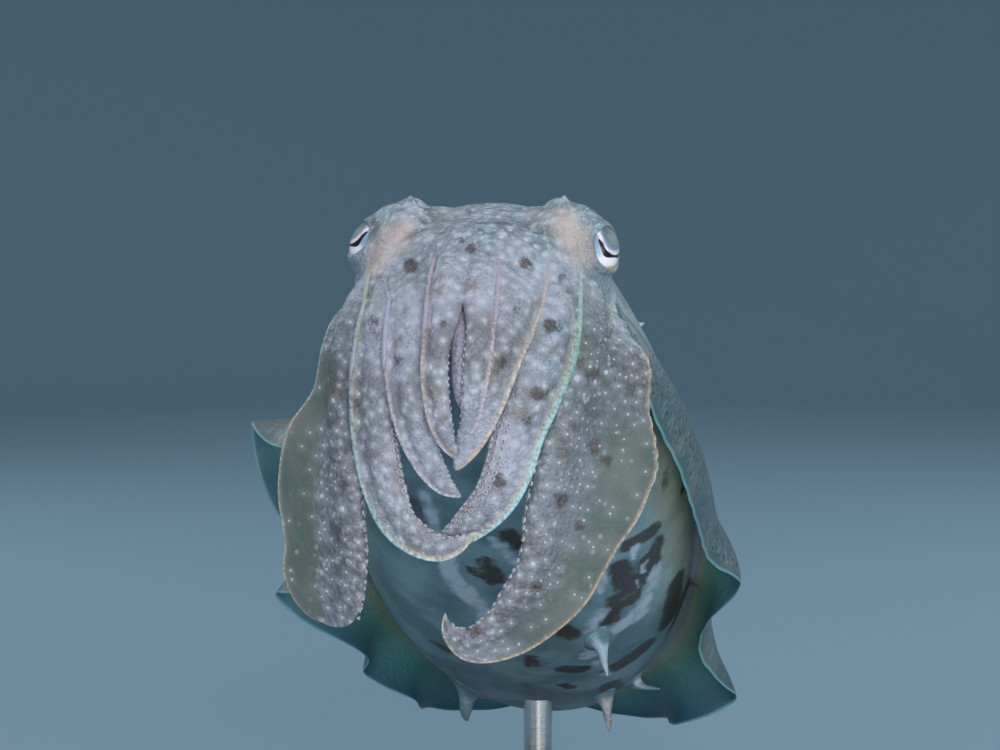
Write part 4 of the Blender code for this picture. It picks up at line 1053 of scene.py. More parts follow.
def lid_form(sign):
    """A fold of skin round the opening: a steep inner edge and a long outer slope."""
    centre, looks, across, up = eye_axes(sign)
    # Each step of the fold: how far out from the opening's edge, and how high above the eyeball.
    fold = [(0.0, 0.05), (-0.15, 0.3), (0.0, 0.65), (0.4, 0.95), (1.0, 1.1), (1.7, 1.1), (2.5, 0.95),
            (3.4, 0.7), (4.4, 0.3), (3.4, -0.8), (1.8, -1.2), (0.6, -0.9)]
    rings = []
    for turn in round_angles(LID_STEPS):
        cos, sin = math.cos(turn), math.sin(turn)
        pucker = 1 + 0.10 * math.sin(5 * turn + 1) + 0.05 * math.sin(11 * turn) - 0.35 * max(sin, 0.0)
        ring = []
        for out, high in fold:
            x = cos * (LID_HALF_WIDTH + out * MM)
            y = math.copysign(abs(sin) ** 0.9, sin) * (LID_HALF_HEIGHT[sign] + out * MM)
            far = math.hypot(x, y)
            tilt = far / EYE_RADIUS
            way = looks * math.cos(tilt) + (across * x + up * y) / far * math.sin(tilt)
            ring.append(centre + way * (EYE_RADIUS + high * MM * pucker))
        rings.append(ring)
    return np.array(rings)


# %% [markdown]
# ## One skin for the head and the arms
#
# On the animal the keels are folds of the skin and run up over the head. Here the arms are laid into the
# melted head, and each keel goes on as a low ridge that follows the skin, so nothing shows where one
# form enters another. Brown spots and peach patches lie where the photograph shows them from in front.

# %% One skin for the head and the arms
# Patches on the head and arms as seen from in front: across and down in millimetres, radius, strength.
HEAD_BROWN = [
    (-23.5, 8.7, 2.6, 1.2), (13.0, 8.0, 2.1, 0.9), (14.9, 8.7, 1.6, 0.8), (-7.4, 0.2, 1.5, 0.8),
    (-4.3, 3.3, 1.8, 0.9), (25.0, 12.5, 1.7, 0.8), (26.9, 16.3, 1.7, 0.8), (20.6, 28.0, 2.6, 1.0),
    (23.8, 27.7, 2.4, 0.6), (27.2, 27.7, 2.0, 0.45), (10.3, 23.2, 1.7, 0.75), (-12.2, 27.7, 1.6, 0.7),
    (4.9, 39.4, 2.3, 0.95), (4.1, 41.7, 2.0, 0.6), (-26.4, 39.1, 2.2, 0.7), (34.4, 43.0, 2.7, 1.1),
    (33.1, 41.4, 1.8, 0.8), (-34.8, 26.3, 2.4, 0.75), (-35.3, 29.3, 2.0, 0.6), (43.0, 20.7, 2.4, 0.5),
    (-34.1, 12.2, 2.0, 0.6), (-24.7, 23.3, 1.5, 0.5), (16.9, 49.2, 3.0, 0.85), (20.0, 47.4, 2.4, 0.6),
    (13.7, 57.3, 2.2, 0.6), (35.0, 66.1, 2.6, 1.2), (30.0, 91.1, 2.3, 1.1), (17.0, 109.7, 2.4, 1.1),
    (5.0, 76.0, 2.4, 1.1), (23.8, 82.6, 3.2, 0.7), (38.8, 70.6, 2.1, 1.0), (-0.6, 36.2, 3.0, 0.4),
    (7.3, 37.0, 3.0, 0.5), (-5.2, -10.2, 1.4, 0.7), (-20.0, -6.5, 1.4, 0.5), (-41.0, 52.0, 2.6, 0.9),
    (-44.0, 78.0, 2.6, 0.7), (-46.0, 96.0, 2.2, 0.6), (-3.0, 124.0, 2.6, 0.8), (14.0, -6.0, 2.4, 0.5),
    (-14.0, 0.0, 1.6, 0.5), (26.0, -12.0, 2.2, 0.5),
]
HEAD_PEACH = [
    (-26.0, -4.5, 4.0, 0.6), (-29.5, -1.0, 4.8, 0.95), (-33.0, 3.5, 4.5, 0.95), (-36.5, 8.0, 3.5, 0.8),
    (26.5, -6.0, 5.0, 0.8), (29.0, -1.0, 5.0, 0.9), (31.0, 5.0, 4.5, 0.7), (18.0, -8.0, 4.0, 0.35),
    (-12.0, -12.0, 5.0, 0.3),
]
TENTACLE_TINT = (0.40, 0.36, 0.47, 0.7)
HORNS = [((-24.5, -11.5), 3.4, 4.2), ((26.0, -11.0), 3.4, 4.2)]


def look_up(points, faces):
    """A search tree over a skin that finds where a line from in front first meets it."""
    return BVHTree.FromPolygons([tuple(p) for p in points], faces)


def seen_from_front(tree, rows_mm):
    """Where lines of sight straight at the face meet the skin, for rows of across and down."""
    found = []
    for across, down in rows_mm:
        start = Vector(from_face([[across, down, 140.0]])[0])
        place, normal, _, _ = tree.ray_cast(start, Vector(-FORWARD))
        if place is not None:
            found.append((np.array(place), np.array(normal)))
    return found


def head_keel(tree, name):
    """The part of a keel that runs up over the head: a low ridge that fades out at both ends."""
    spine, keel, _, core, web, _ = arm_frames(name)
    first, last = (int(share * ARM_STATIONS) for share in KEEL_JOINS[name[-1]])
    edge = to_face(spine + keel * (core + web - 0.4 * MM)[:, None])[first:last:4, :2]
    start = np.array([row for row in KEEL_STARTS[name] if row[1] < edge[0, 1] - 3], float)
    rows = along(np.column_stack([np.vstack([start, edge]), np.zeros(len(edge) + len(start))]), 90)[:, :2]
    met = seen_from_front(tree, rows)
    places = np.array([place for place, _ in met])
    normals = np.array([normal for _, normal in met])
    for _ in range(KEEL_SMOOTHING):
        places[1:-1] = (places[:-2] + 2 * places[1:-1] + places[2:]) / 4
        normals[1:-1] = (normals[:-2] + normals[1:-1] + normals[2:]) / 3
    tangent = unit(np.gradient(places, axis=0))
    normals = unit(normals - (normals * tangent).sum(1, keepdims=True) * tangent)
    side = np.cross(normals, tangent)
    share = np.linspace(0, 1, len(places))
    whole = ease(share, 0.0, 0.45) * (1 - ease(share, 0.88, 1.0))
    size = KEEL_RIDGE * (0.25 + 0.75 * whole) * (0.75 + 0.25 * KEEL_COLOURS[name][0])
    turn = round_angles(KEEL_SIDES)
    cos, sin = np.cos(turn)[None, :, None], np.sin(turn)[None, :, None]
    outline = 1.3 * cos * side[:, None] + 0.8 * sin * normals[:, None]
    rings = places[:, None] + size[:, None, None] * outline
    rings -= normals[:, None] * (0.3 * size + 0.7 * MM * (1 - whole))[:, None, None]
    colours = np.array(KEEL_COLOURS[name][1])
    at = share * KEEL_JOINS[name[-1]][1]
    shade = np.stack([np.interp(at, np.linspace(0, 1, len(colours)), channel) for channel in colours.T], -1)
    return rings, shade, places, whole


def keel_on_skin(points, keels):
    """Soft colour on the skin beside the ridges."""
    paint = np.zeros((len(points), 4))
    for _, shade, places, whole in keels:
        tree = nearest_finder(places)
        low, high = places.min(0) - 3 * MM, places.max(0) + 3 * MM
        for i in np.nonzero(((points > low) & (points < high)).all(1))[0]:
            _, k, far = tree.find(Vector(points[i]))
            strength = float(0.5 * (0.3 + 0.7 * whole[k]) * (1 - ease(far / MM, 0.6, 2.2)))
            if strength > paint[i, 3]:
                paint[i] = (*shade[k], strength)
    return paint


def horn_form(tree, place, root, height):
    """A low blunt cone of skin on the brow."""
    here, normal = seen_from_front(tree, [place])[0]
    way = unit(unit(normal) + 1.6 * UP)
    first = unit(np.cross(way, FORWARD))
    second = np.cross(way, first)
    turn = round_angles(HORN_SIDES)
    rings = []
    for rise in np.linspace(-0.5, 1, 16):
        up = max(rise, 0.0)
        size = 0.2 + 0.8 * (1 - up) ** 0.9 + 1.1 * math.exp(-up / 0.25) * (1 - up)
        rings.append(here + way * height * MM * rise + root * MM * size * 0.62 * (
            np.outer(np.cos(turn), first) + np.outer(np.sin(turn), second)))
    return np.array(rings)


def front_patches(points, rows, soften):
    """Patches given across and down as seen from in front, on the skin that faces forward."""
    seen = to_face(points)
    strokes = [(np.array([x, y]), np.array([x, y]), radius, strength) for x, y, radius, strength in rows]
    cover = patches(seen[:, :2], strokes, soften)
    return cover * ease(seen[:, 2], -14, -4)


def make_head(material):
    points, faces = melted_head()
    for sign in (1, -1):
        points = press_on_eye(points, sign)
    tree = look_up(points, faces)
    skin = Skin()
    skin.add(points, faces)
    arm_rings = {name: arm_form(name) for name in ARMS}
    for sign in (1, -1):
        lower = 0.35 + 0.65 * ease(-np.sin(round_angles(LID_STEPS)), -0.7, 0.2)
        skin.loop(lid_form(sign), lid=np.outer(lower, [1, 1, 0.8, 0.4, 0.1, 0, 0, 0, 0, 0, 0, 0.5]))
    for place, root, height in HORNS:
        skin.grid(horn_form(tree, place, root, height))
    for name, (rings, length, from_edge) in arm_rings.items():
        breadth = from_edge.max(1, keepdims=True)
        wander = rough(rings.reshape(-1, 3), 60.0).reshape(length.shape) * 0.12
        wide = ease(length, 0.04, 0.22) * (1.0 if name.endswith("4") else 0.0)
        outer = 1 - ease(from_edge / breadth + wander, 0.38, 0.62)
        leaf = ease(length, 0.20, 0.40) * wide * ease(breadth, 12 * MM, 20 * MM) * outer
        skin.grid(rings, keel=keel_paint(name, length, from_edge), edge=from_edge / MM, leaf=leaf, wide=wide)
    tree = look_up(np.vstack(skin.points), skin.faces)
    keels = [head_keel(tree, name) for name in KEEL_STARTS]
    skin.marks["keel"].insert(0, (0, keel_on_skin(points, keels)))
    for rings, shade, _, whole in keels:
        strength = np.repeat((0.25 + 0.5 * whole)[:, None, None], KEEL_SIDES, 1)
        shade = np.repeat(shade[:, None], KEEL_SIDES, 1)
        skin.grid(rings, keel=np.concatenate([shade, strength], -1))
    for route in TENTACLES.values():
        tentacle = tentacle_form(route)
        skin.grid(tentacle, keel=np.tile(TENTACLE_TINT, (*tentacle.shape[:2], 1)))
    skin.grid(funnel_form())
    every = np.vstack(skin.points)
    for mark, rows, soften in (("brown", HEAD_BROWN, 0.45), ("peach", HEAD_PEACH, 0.8)):
        skin.marks[mark] = [(0, front_patches(every, rows, soften))]
    head = skin.build("head_skin", material)
    print("the head's skin has", len(head.data.polygons), "faces")
    return head

# %% [markdown]
# ## The eyes
#
# The pupil of a cuttlefish narrows to a bent slit in bright light. Below it the ball is white, and a
# flap hangs over it from above, pale at its edge and grey-green like the skin farther up. The eyeball is
# a fine sphere. Each of its points knows how far across and up it lies as the eye looks, and how far it
# is from the pupil and from the flap's edge, and the material draws the bands from that.

# %% Eyeballs
EYE_SEGMENTS = 160
EYE_STEPS = 90
# Lines across the eye: toward the face and up, in millimetres from its middle. One is the pupil, the
# other the lower edge of the flap that shades the eye.
PUPIL_LINE = [(6.75, 2.8), (6.5, 1.6), (6.1, 0.0), (5.3, -1.4), (4.1, -2.3), (2.2, -2.9), (-0.7, -3.1),
              (-3.4, -2.9), (-5.3, -1.6), (-6.3, 0.4)]
FLAP_LINE = [(3.4, 9.4), (5.1, 7.4), (6.0, 5.3), (6.2, 3.2), (5.8, 0.9), (4.6, -1.2), (2.0, -2.5),
             (-2.0, -2.7), (-4.6, -1.5), (-6.4, 1.4), (-7.0, 5.0)]
# Half the pupil's thickness at distances across the eye from its middle, in millimetres.
PUPIL_HALF = [(0, 0.35), (2.2, 0.5), (4, 0.85), (5.4, 0.95), (6.1, 0.65), (6.7, 0.0)]


def distance_to_line(points, corners):
    """How far flat points lie from a smooth line, positive on its right-hand side."""
    line = along([(x, y, 0) for x, y in corners], 80)[:, :2]
    nearest = np.full(len(points), 1e9)
    for start, end in zip(line, line[1:]):
        step = end - start
        t = np.clip((points - start) @ step / (step @ step), 0, 1)
        off = points - start - t[:, None] * step
        far = np.linalg.norm(off, axis=1) * np.where(step[1] * off[:, 0] > step[0] * off[:, 1], 1, -1)
        nearest = np.where(np.abs(far) < np.abs(nearest), far, nearest)
    return nearest


def make_eye(name, sign, material):
    centre, looks, across, up = eye_axes(sign)
    front = np.array([0.0, -1.0, 0.0])
    toward_face = across if across @ front > 0 else -across
    turn = round_angles(EYE_SEGMENTS)
    rings = []
    for lift in np.linspace(0, math.pi, EYE_STEPS + 2)[1:-1]:
        rings.append(centre + EYE_RADIUS * (math.cos(lift) * looks
                                            + math.sin(lift) * (np.outer(np.cos(turn), toward_face)
                                                                + np.outer(np.sin(turn), up))))
    rings = np.array(rings)
    away = rings - centre
    flat = np.stack([away @ toward_face, away @ up], -1) / MM
    pupil, above = (distance_to_line(flat.reshape(-1, 2), line).reshape(flat.shape[:2])
                    for line in (PUPIL_LINE, FLAP_LINE))
    pupil = np.abs(pupil) - np.interp(np.abs(flat[..., 0]), *zip(*PUPIL_HALF))
    skin = Skin()
    skin.grid(rings, pupil=pupil, high=flat[..., 1], near=flat[..., 0], above=above)
    eye = skin.build(name + "_ball", material)
    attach(eye, "root")
    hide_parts(name)


# %% [markdown]
# ## Many small things
#
# Hundreds of suckers and pale warts share a few shapes. Geometry Nodes sets a copy of the shape on each
# seat, turns it to face out of the skin, gives it a random twist and size from a fixed seed, and joins
# the copies to one mesh.

# %% A scatter of copies


def seats_object(name, places, ways, sizes):
    mesh = bpy.data.meshes.new(name)
    mesh.from_pydata([tuple(p) for p in places], [], [])
    mesh.attributes.new("facing", "FLOAT_VECTOR", "POINT").data.foreach_set(
        "vector", np.asarray(ways, np.float32).ravel())
    mesh.attributes.new("size", "FLOAT", "POINT").data.foreach_set("value", np.asarray(sizes, np.float32))
    made = bpy.data.objects.new(name, mesh)
    bpy.context.scene.collection.objects.link(made)
    return made


def scatter_tree():
    """Seats in, joined copies out, with the shape, the material and the seed as named inputs."""
    tree = bpy.data.node_groups.new("scatter", "GeometryNodeTree")
    face = tree.interface
    sockets = {}
    for label, kind in (("Seats", "NodeSocketGeometry"), ("Shape", "NodeSocketObject"),
                        ("Material", "NodeSocketMaterial"), ("Seed", "NodeSocketInt"),
                        ("Spread", "NodeSocketFloat")):
        sockets[label] = face.new_socket(label, in_out="INPUT", socket_type=kind).identifier
    face.new_socket("Copies", in_out="OUTPUT", socket_type="NodeSocketGeometry")

    def node(kind, **settings):
        made = tree.nodes.new(kind)
        for key, value in settings.items():
            setattr(made, key, value)
        return made

    start, end = node("NodeGroupInput"), node("NodeGroupOutput")
    shape = node("GeometryNodeObjectInfo")
    copies = node("GeometryNodeInstanceOnPoints")
    facing = node("GeometryNodeInputNamedAttribute", data_type="FLOAT_VECTOR")
    facing.inputs["Name"].default_value = "facing"
    size = node("GeometryNodeInputNamedAttribute", data_type="FLOAT")
    size.inputs["Name"].default_value = "size"
    turn = node("FunctionNodeAlignRotationToVector", axis="Z")
    twist = node("FunctionNodeRandomValue", data_type="FLOAT")
    twist.inputs[3].default_value = math.tau
    uneven = node("FunctionNodeRandomValue", data_type="FLOAT")
    spin = node("GeometryNodeRotateInstances")
    angle = node("ShaderNodeCombineXYZ")
    low = node("ShaderNodeMath", operation="SUBTRACT")
    low.inputs[0].default_value = 1.0
    high = node("ShaderNodeMath", operation="ADD")
    high.inputs[0].default_value = 1.0
    scale = node("ShaderNodeMath", operation="MULTIPLY")
    real = node("GeometryNodeRealizeInstances")
    soft = node("GeometryNodeSetShadeSmooth")
    paint = node("GeometryNodeSetMaterial")
    for source, target in (
            (start.outputs["Seats"], copies.inputs["Points"]),
            (start.outputs["Shape"], shape.inputs["Object"]),
            (shape.outputs["Geometry"], copies.inputs["Instance"]),
            (facing.outputs["Attribute"], turn.inputs["Vector"]),
            (turn.outputs["Rotation"], copies.inputs["Rotation"]),
            (start.outputs["Seed"], twist.inputs["Seed"]), (start.outputs["Seed"], uneven.inputs["Seed"]),
            (start.outputs["Spread"], low.inputs[1]), (start.outputs["Spread"], high.inputs[1]),
            (low.outputs[0], uneven.inputs[2]), (high.outputs[0], uneven.inputs[3]),
            (uneven.outputs[1], scale.inputs[0]), (size.outputs["Attribute"], scale.inputs[1]),
            (scale.outputs[0], copies.inputs["Scale"]),
            (twist.outputs[1], angle.inputs["Z"]), (angle.outputs[0], spin.inputs["Rotation"]),
            (copies.outputs["Instances"], spin.inputs["Instances"]),
            (spin.outputs["Instances"], real.inputs["Geometry"]),
            (real.outputs["Geometry"], soft.inputs["Geometry"]),
            (soft.outputs["Geometry"], paint.inputs["Geometry"]),
            (start.outputs["Material"], paint.inputs["Material"]),
            (paint.outputs["Geometry"], end.inputs[0])):
        tree.links.new(source, target)
    return tree, sockets


def scatter(name, seats, shape, material, seed, spread):
    """Runs the tree on the seats and keeps the copies as one plain mesh."""
    tree, sockets = scatter_tree()
    modifier = seats.modifiers.new("scatter", "NODES")
    modifier.node_group = tree
    for label, value in (("Shape", shape), ("Material", material), ("Seed", seed), ("Spread", spread)):
        modifier[sockets[label]] = value
    mesh = evaluated_mesh(seats)
    for used in (seats, shape):
        bpy.data.objects.remove(used)
    made = bpy.data.objects.new(name, mesh)
    bpy.context.scene.collection.objects.link(made)
    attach(made, "root")
    print(name, "has", len(mesh.polygons), "faces")


# %% Suckers
SUCKER_COUNT = {"1": 8, "2": 10, "3": 20, "4": 28}
SUCKER_RADIUS = {"1": 0.95, "2": 1.1, "3": 1.5, "4": 1.4}
SUCKER_LAST = 0.97
SUCKER_TAPER = 0.62
SUCKER_ANGLES = {"1": [-70, -42, -14, 10], "2": [-70, -42, -14, 10], "3": [-60, -30, 0, 26],
                 "4": [-84, -56, -28, 0], "left_3": [-22, 10, 40, 66]}
SUCKER_START = {"left_3": 0.55}
# A sucker's outline: radius and height as shares of its radius. Its size varies by the spread.
SUCKER_OUTLINE = [(0.55, -0.9), (0.50, -0.3), (0.78, 0.05), (1.0, 0.35), (0.98, 0.62), (0.78, 0.72),
                  (0.52, 0.52), (0.30, 0.25)]
SUCKER_SIDES = 12
SUCKER_SEED, SUCKER_SPREAD = 5, 0.1


def turned_shape(name, outline, sides):
    """A shape turned round +Z from rows of radius and height, closed at both ends."""
    turn = round_angles(sides)
    skin = Skin()
    skin.grid([[(r * math.cos(a), r * math.sin(a), z) for a in turn] for r, z in outline],
              cup=np.repeat(np.array([[1.0 if r < 0.55 and z > 0.2 else 0.0] for r, z in outline]), sides, 1))
    return skin.build(name, bpy.data.materials.new(name))


def sucker_seats():
    places, ways, sizes = [], [], []
    for name in ARMS:
        spine, keel, face, core, _, thick = arm_frames(name)
        count = SUCKER_COUNT[name[-1]]
        first = SUCKER_START.get(name, (TUCKS[name][1] + TUCKS[name][2]) / 2)
        for k in range(count):
            for row, angle in enumerate(SUCKER_ANGLES.get(name, SUCKER_ANGLES[name[-1]])):
                share = first + (SUCKER_LAST - first) * (k + 0.25 + 0.5 * (row % 2)) / count
                station = int(round(share * (ARM_STATIONS - 1)))
                tip = min(1.0, (1 - share) / ARMS[name][2])
                round_tip = max(0.3, math.sqrt(1 - (1 - tip) ** 2))
                slim = slimmed(thick, 1 - share) * round_tip
                turn = math.radians(angle)
                x = -core[station] * round_tip * math.cos(turn)
                y = arm_height(np.array([x]), core[station] * round_tip, 1.0, slim)[0]
                y *= math.copysign(1, turn)
                places.append(spine[station] + keel[station] * x * 0.97 + face[station] * y * 0.97)
                ways.append(-math.cos(turn) * keel[station] + math.sin(turn) * face[station])
                grown = 0.45 + 0.55 * float(ease(k, -1, 3))
                sizes.append(SUCKER_RADIUS[name[-1]] * MM * grown * (1 - SUCKER_TAPER * share ** 1.3))
    return places, ways, sizes


# %% Warts
WART_SPACING = 3.3 * MM
WART_SIZE = (0.28, 0.80)
WART_TRIES = 26000
WART_GLOW = (0.65 * MM, 2.0)
WART_OUTLINE = [(1.7, -0.22), (1.3, 0.06), (0.85, 0.26), (0.35, 0.36)]
WART_SIDES = 9
WART_PLACES_SEED = 21
WART_SEED, WART_SPREAD = 9, 0.12


def wart_seats(skin_object):
    """Random seats on the head and arms, none too near another, with their ways out of the skin."""
    mesh = skin_object.data
    draws = np.random.default_rng(WART_PLACES_SEED)
    areas = np.array([p.area for p in mesh.polygons])
    picks = draws.choice(len(areas), WART_TRIES, p=areas / areas.sum())
    centres = np.array([mesh.polygons[k].center for k in picks])
    normals = np.array([mesh.polygons[k].normal for k in picks])
    seen = to_face(centres)
    wanted = 0.30 + 0.5 * ease(seen[:, 1], 10, 70) + 0.4 * ease(rough(centres, 90.0, 7.0), -0.2, 0.5)
    wanted *= normals @ FORWARD > -0.35
    smooth = np.zeros(len(mesh.vertices), np.float32)
    mesh.attributes["leaf"].data.foreach_get("value", smooth)
    first_corner = np.array([mesh.polygons[k].vertices[0] for k in picks])
    on_leaf = smooth[first_corner]
    lines = np.zeros(4 * len(mesh.vertices), np.float32)
    mesh.attributes["keel"].data.foreach_get("color", lines)
    wanted *= lines[3::4][first_corner] < 0.15
    wanted *= 1 - 0.94 * on_leaf
    for mark in ("peach", "brown"):
        mesh.attributes[mark].data.foreach_get("value", smooth)
        wanted *= 1 - np.clip(smooth[first_corner], 0, 1)
    for sign in (1, -1):
        wanted[np.linalg.norm(centres - eye_axes(sign)[0], axis=1) < EYE_RADIUS + 4 * MM] = 0
    taken, size = [], []
    for place, normal, want, draw, big in zip(centres, normals, wanted, draws.random(WART_TRIES),
                                              draws.random(WART_TRIES) * (1 - 0.6 * on_leaf)):
        if draw > want:
            continue
        radius = (WART_SIZE[0] + (WART_SIZE[1] - WART_SIZE[0]) * big ** 2.8) * MM
        if taken:
            others = np.array([p for p, _ in taken])
            if (((others - place) ** 2).sum(1) < (WART_SPACING * (0.55 + 1.6 * big)) ** 2).any():
                continue
        taken.append((place, normal))
        size.append(radius)
    return np.array([p for p, _ in taken]), np.array([n for _, n in taken]), np.array(size)


def add_glow(skin_object, places, sizes):
    """Marks the skin round each wart, where it pales, even round a small one."""
    tree = nearest_finder(places)
    mesh = skin_object.data
    glow = np.zeros(len(mesh.vertices), np.float32)
    for k, vertex in enumerate(mesh.vertices):
        _, nearest, far = tree.find(vertex.co)
        glow[k] = math.exp(-(far / (WART_GLOW[0] + WART_GLOW[1] * sizes[nearest])) ** 2)
    mesh.attributes.new("glow", "FLOAT", "POINT").data.foreach_set("value", glow)

# %% [markdown]
# ## Materials
#
# All the skin shares one material, which reads the marks that the forms carry. Tones come from noise in
# the object's own space, so the pattern runs on from the mantle to the fins and arms. Pigment cells
# show as fine dark grains, and brown blotches get ragged edges from noise that shifts their threshold.

# %% Short ways to build a material


class Paint:
    """A material with short ways to add and join its nodes."""

    def __init__(self, name):
        self.material = bpy.data.materials.new(name)
        self.material.use_nodes = True
        self.tree = self.material.node_tree
        self.shader = self.tree.nodes["Principled BSDF"]
        self.place = self.node("ShaderNodeTexCoord").outputs["Object"]
        self.colour = None

    def node(self, kind, **settings):
        made = self.tree.nodes.new(kind)
        for key, value in settings.items():
            setattr(made, key, value)
        return made

    def put(self, value, socket):
        if isinstance(value, bpy.types.NodeSocket):
            self.tree.links.new(value, socket)
        elif isinstance(value, tuple) and len(value) == 3 and socket.type == "RGBA":
            socket.default_value = (*value, 1.0)
        else:
            socket.default_value = value

    def set(self, **values):
        for name, value in values.items():
            self.put(value, self.shader.inputs[name.replace("_", " ")])

    def mark(self, name):
        return self.node("ShaderNodeAttribute", attribute_name=name).outputs["Fac"]

    def noise(self, scale, detail=3.0, roughness=0.55, distortion=0.0, place=None):
        made = self.node("ShaderNodeTexNoise")
        for socket, value in (("Vector", place or self.place), ("Scale", scale), ("Detail", detail),
                              ("Roughness", roughness), ("Distortion", distortion)):
            self.put(value, made.inputs[socket])
        return made.outputs["Fac"]

    def cells(self, scale):
        """How far a place lies from the nearest of many scattered points."""
        made = self.node("ShaderNodeTexVoronoi")
        self.put(self.place, made.inputs["Vector"])
        self.put(scale, made.inputs["Scale"])
        return made.outputs["Distance"]

    def sum(self, operation, first, second=0.0):
        made = self.node("ShaderNodeMath", operation=operation)
        for value, socket in zip((first, second), made.inputs):
            self.put(value, socket)
        return made.outputs[0]

    def both(self, first, second):
        """The product of two values, as where two masks both have to cover a place."""
        return self.sum("MULTIPLY", first, second)

    def without(self, value):
        return self.sum("SUBTRACT", 1.0, value)

    def step(self, value, low, high, bottom=0.0, top=1.0):
        """Bottom below low, top above high and a smooth rise between."""
        made = self.node("ShaderNodeMapRange", interpolation_type="SMOOTHSTEP")
        for number, socket in zip((value, low, high, bottom, top), made.inputs):
            self.put(number, socket)
        return made.outputs[0]

    def blend(self, amount, first, second, kind="MIX"):
        made = self.node("ShaderNodeMix", data_type="RGBA", blend_type=kind)
        self.put(amount, made.inputs[0])
        self.put(first, made.inputs[6])
        self.put(second, made.inputs[7])
        return made.outputs[2]

    def coat(self, cover, shade, kind="MIX"):
        """Lays one more coat of colour over those so far, as thick as the cover says."""
        self.colour = self.blend(cover, self.colour, shade, kind)

    def relief(self, height, depth, before=None):
        made = self.node("ShaderNodeBump")
        self.put(height, made.inputs["Height"])
        self.put(depth, made.inputs["Distance"])
        if before is not None:
            self.put(before, made.inputs["Normal"])
        return made.outputs["Normal"]


# %% The skin's material


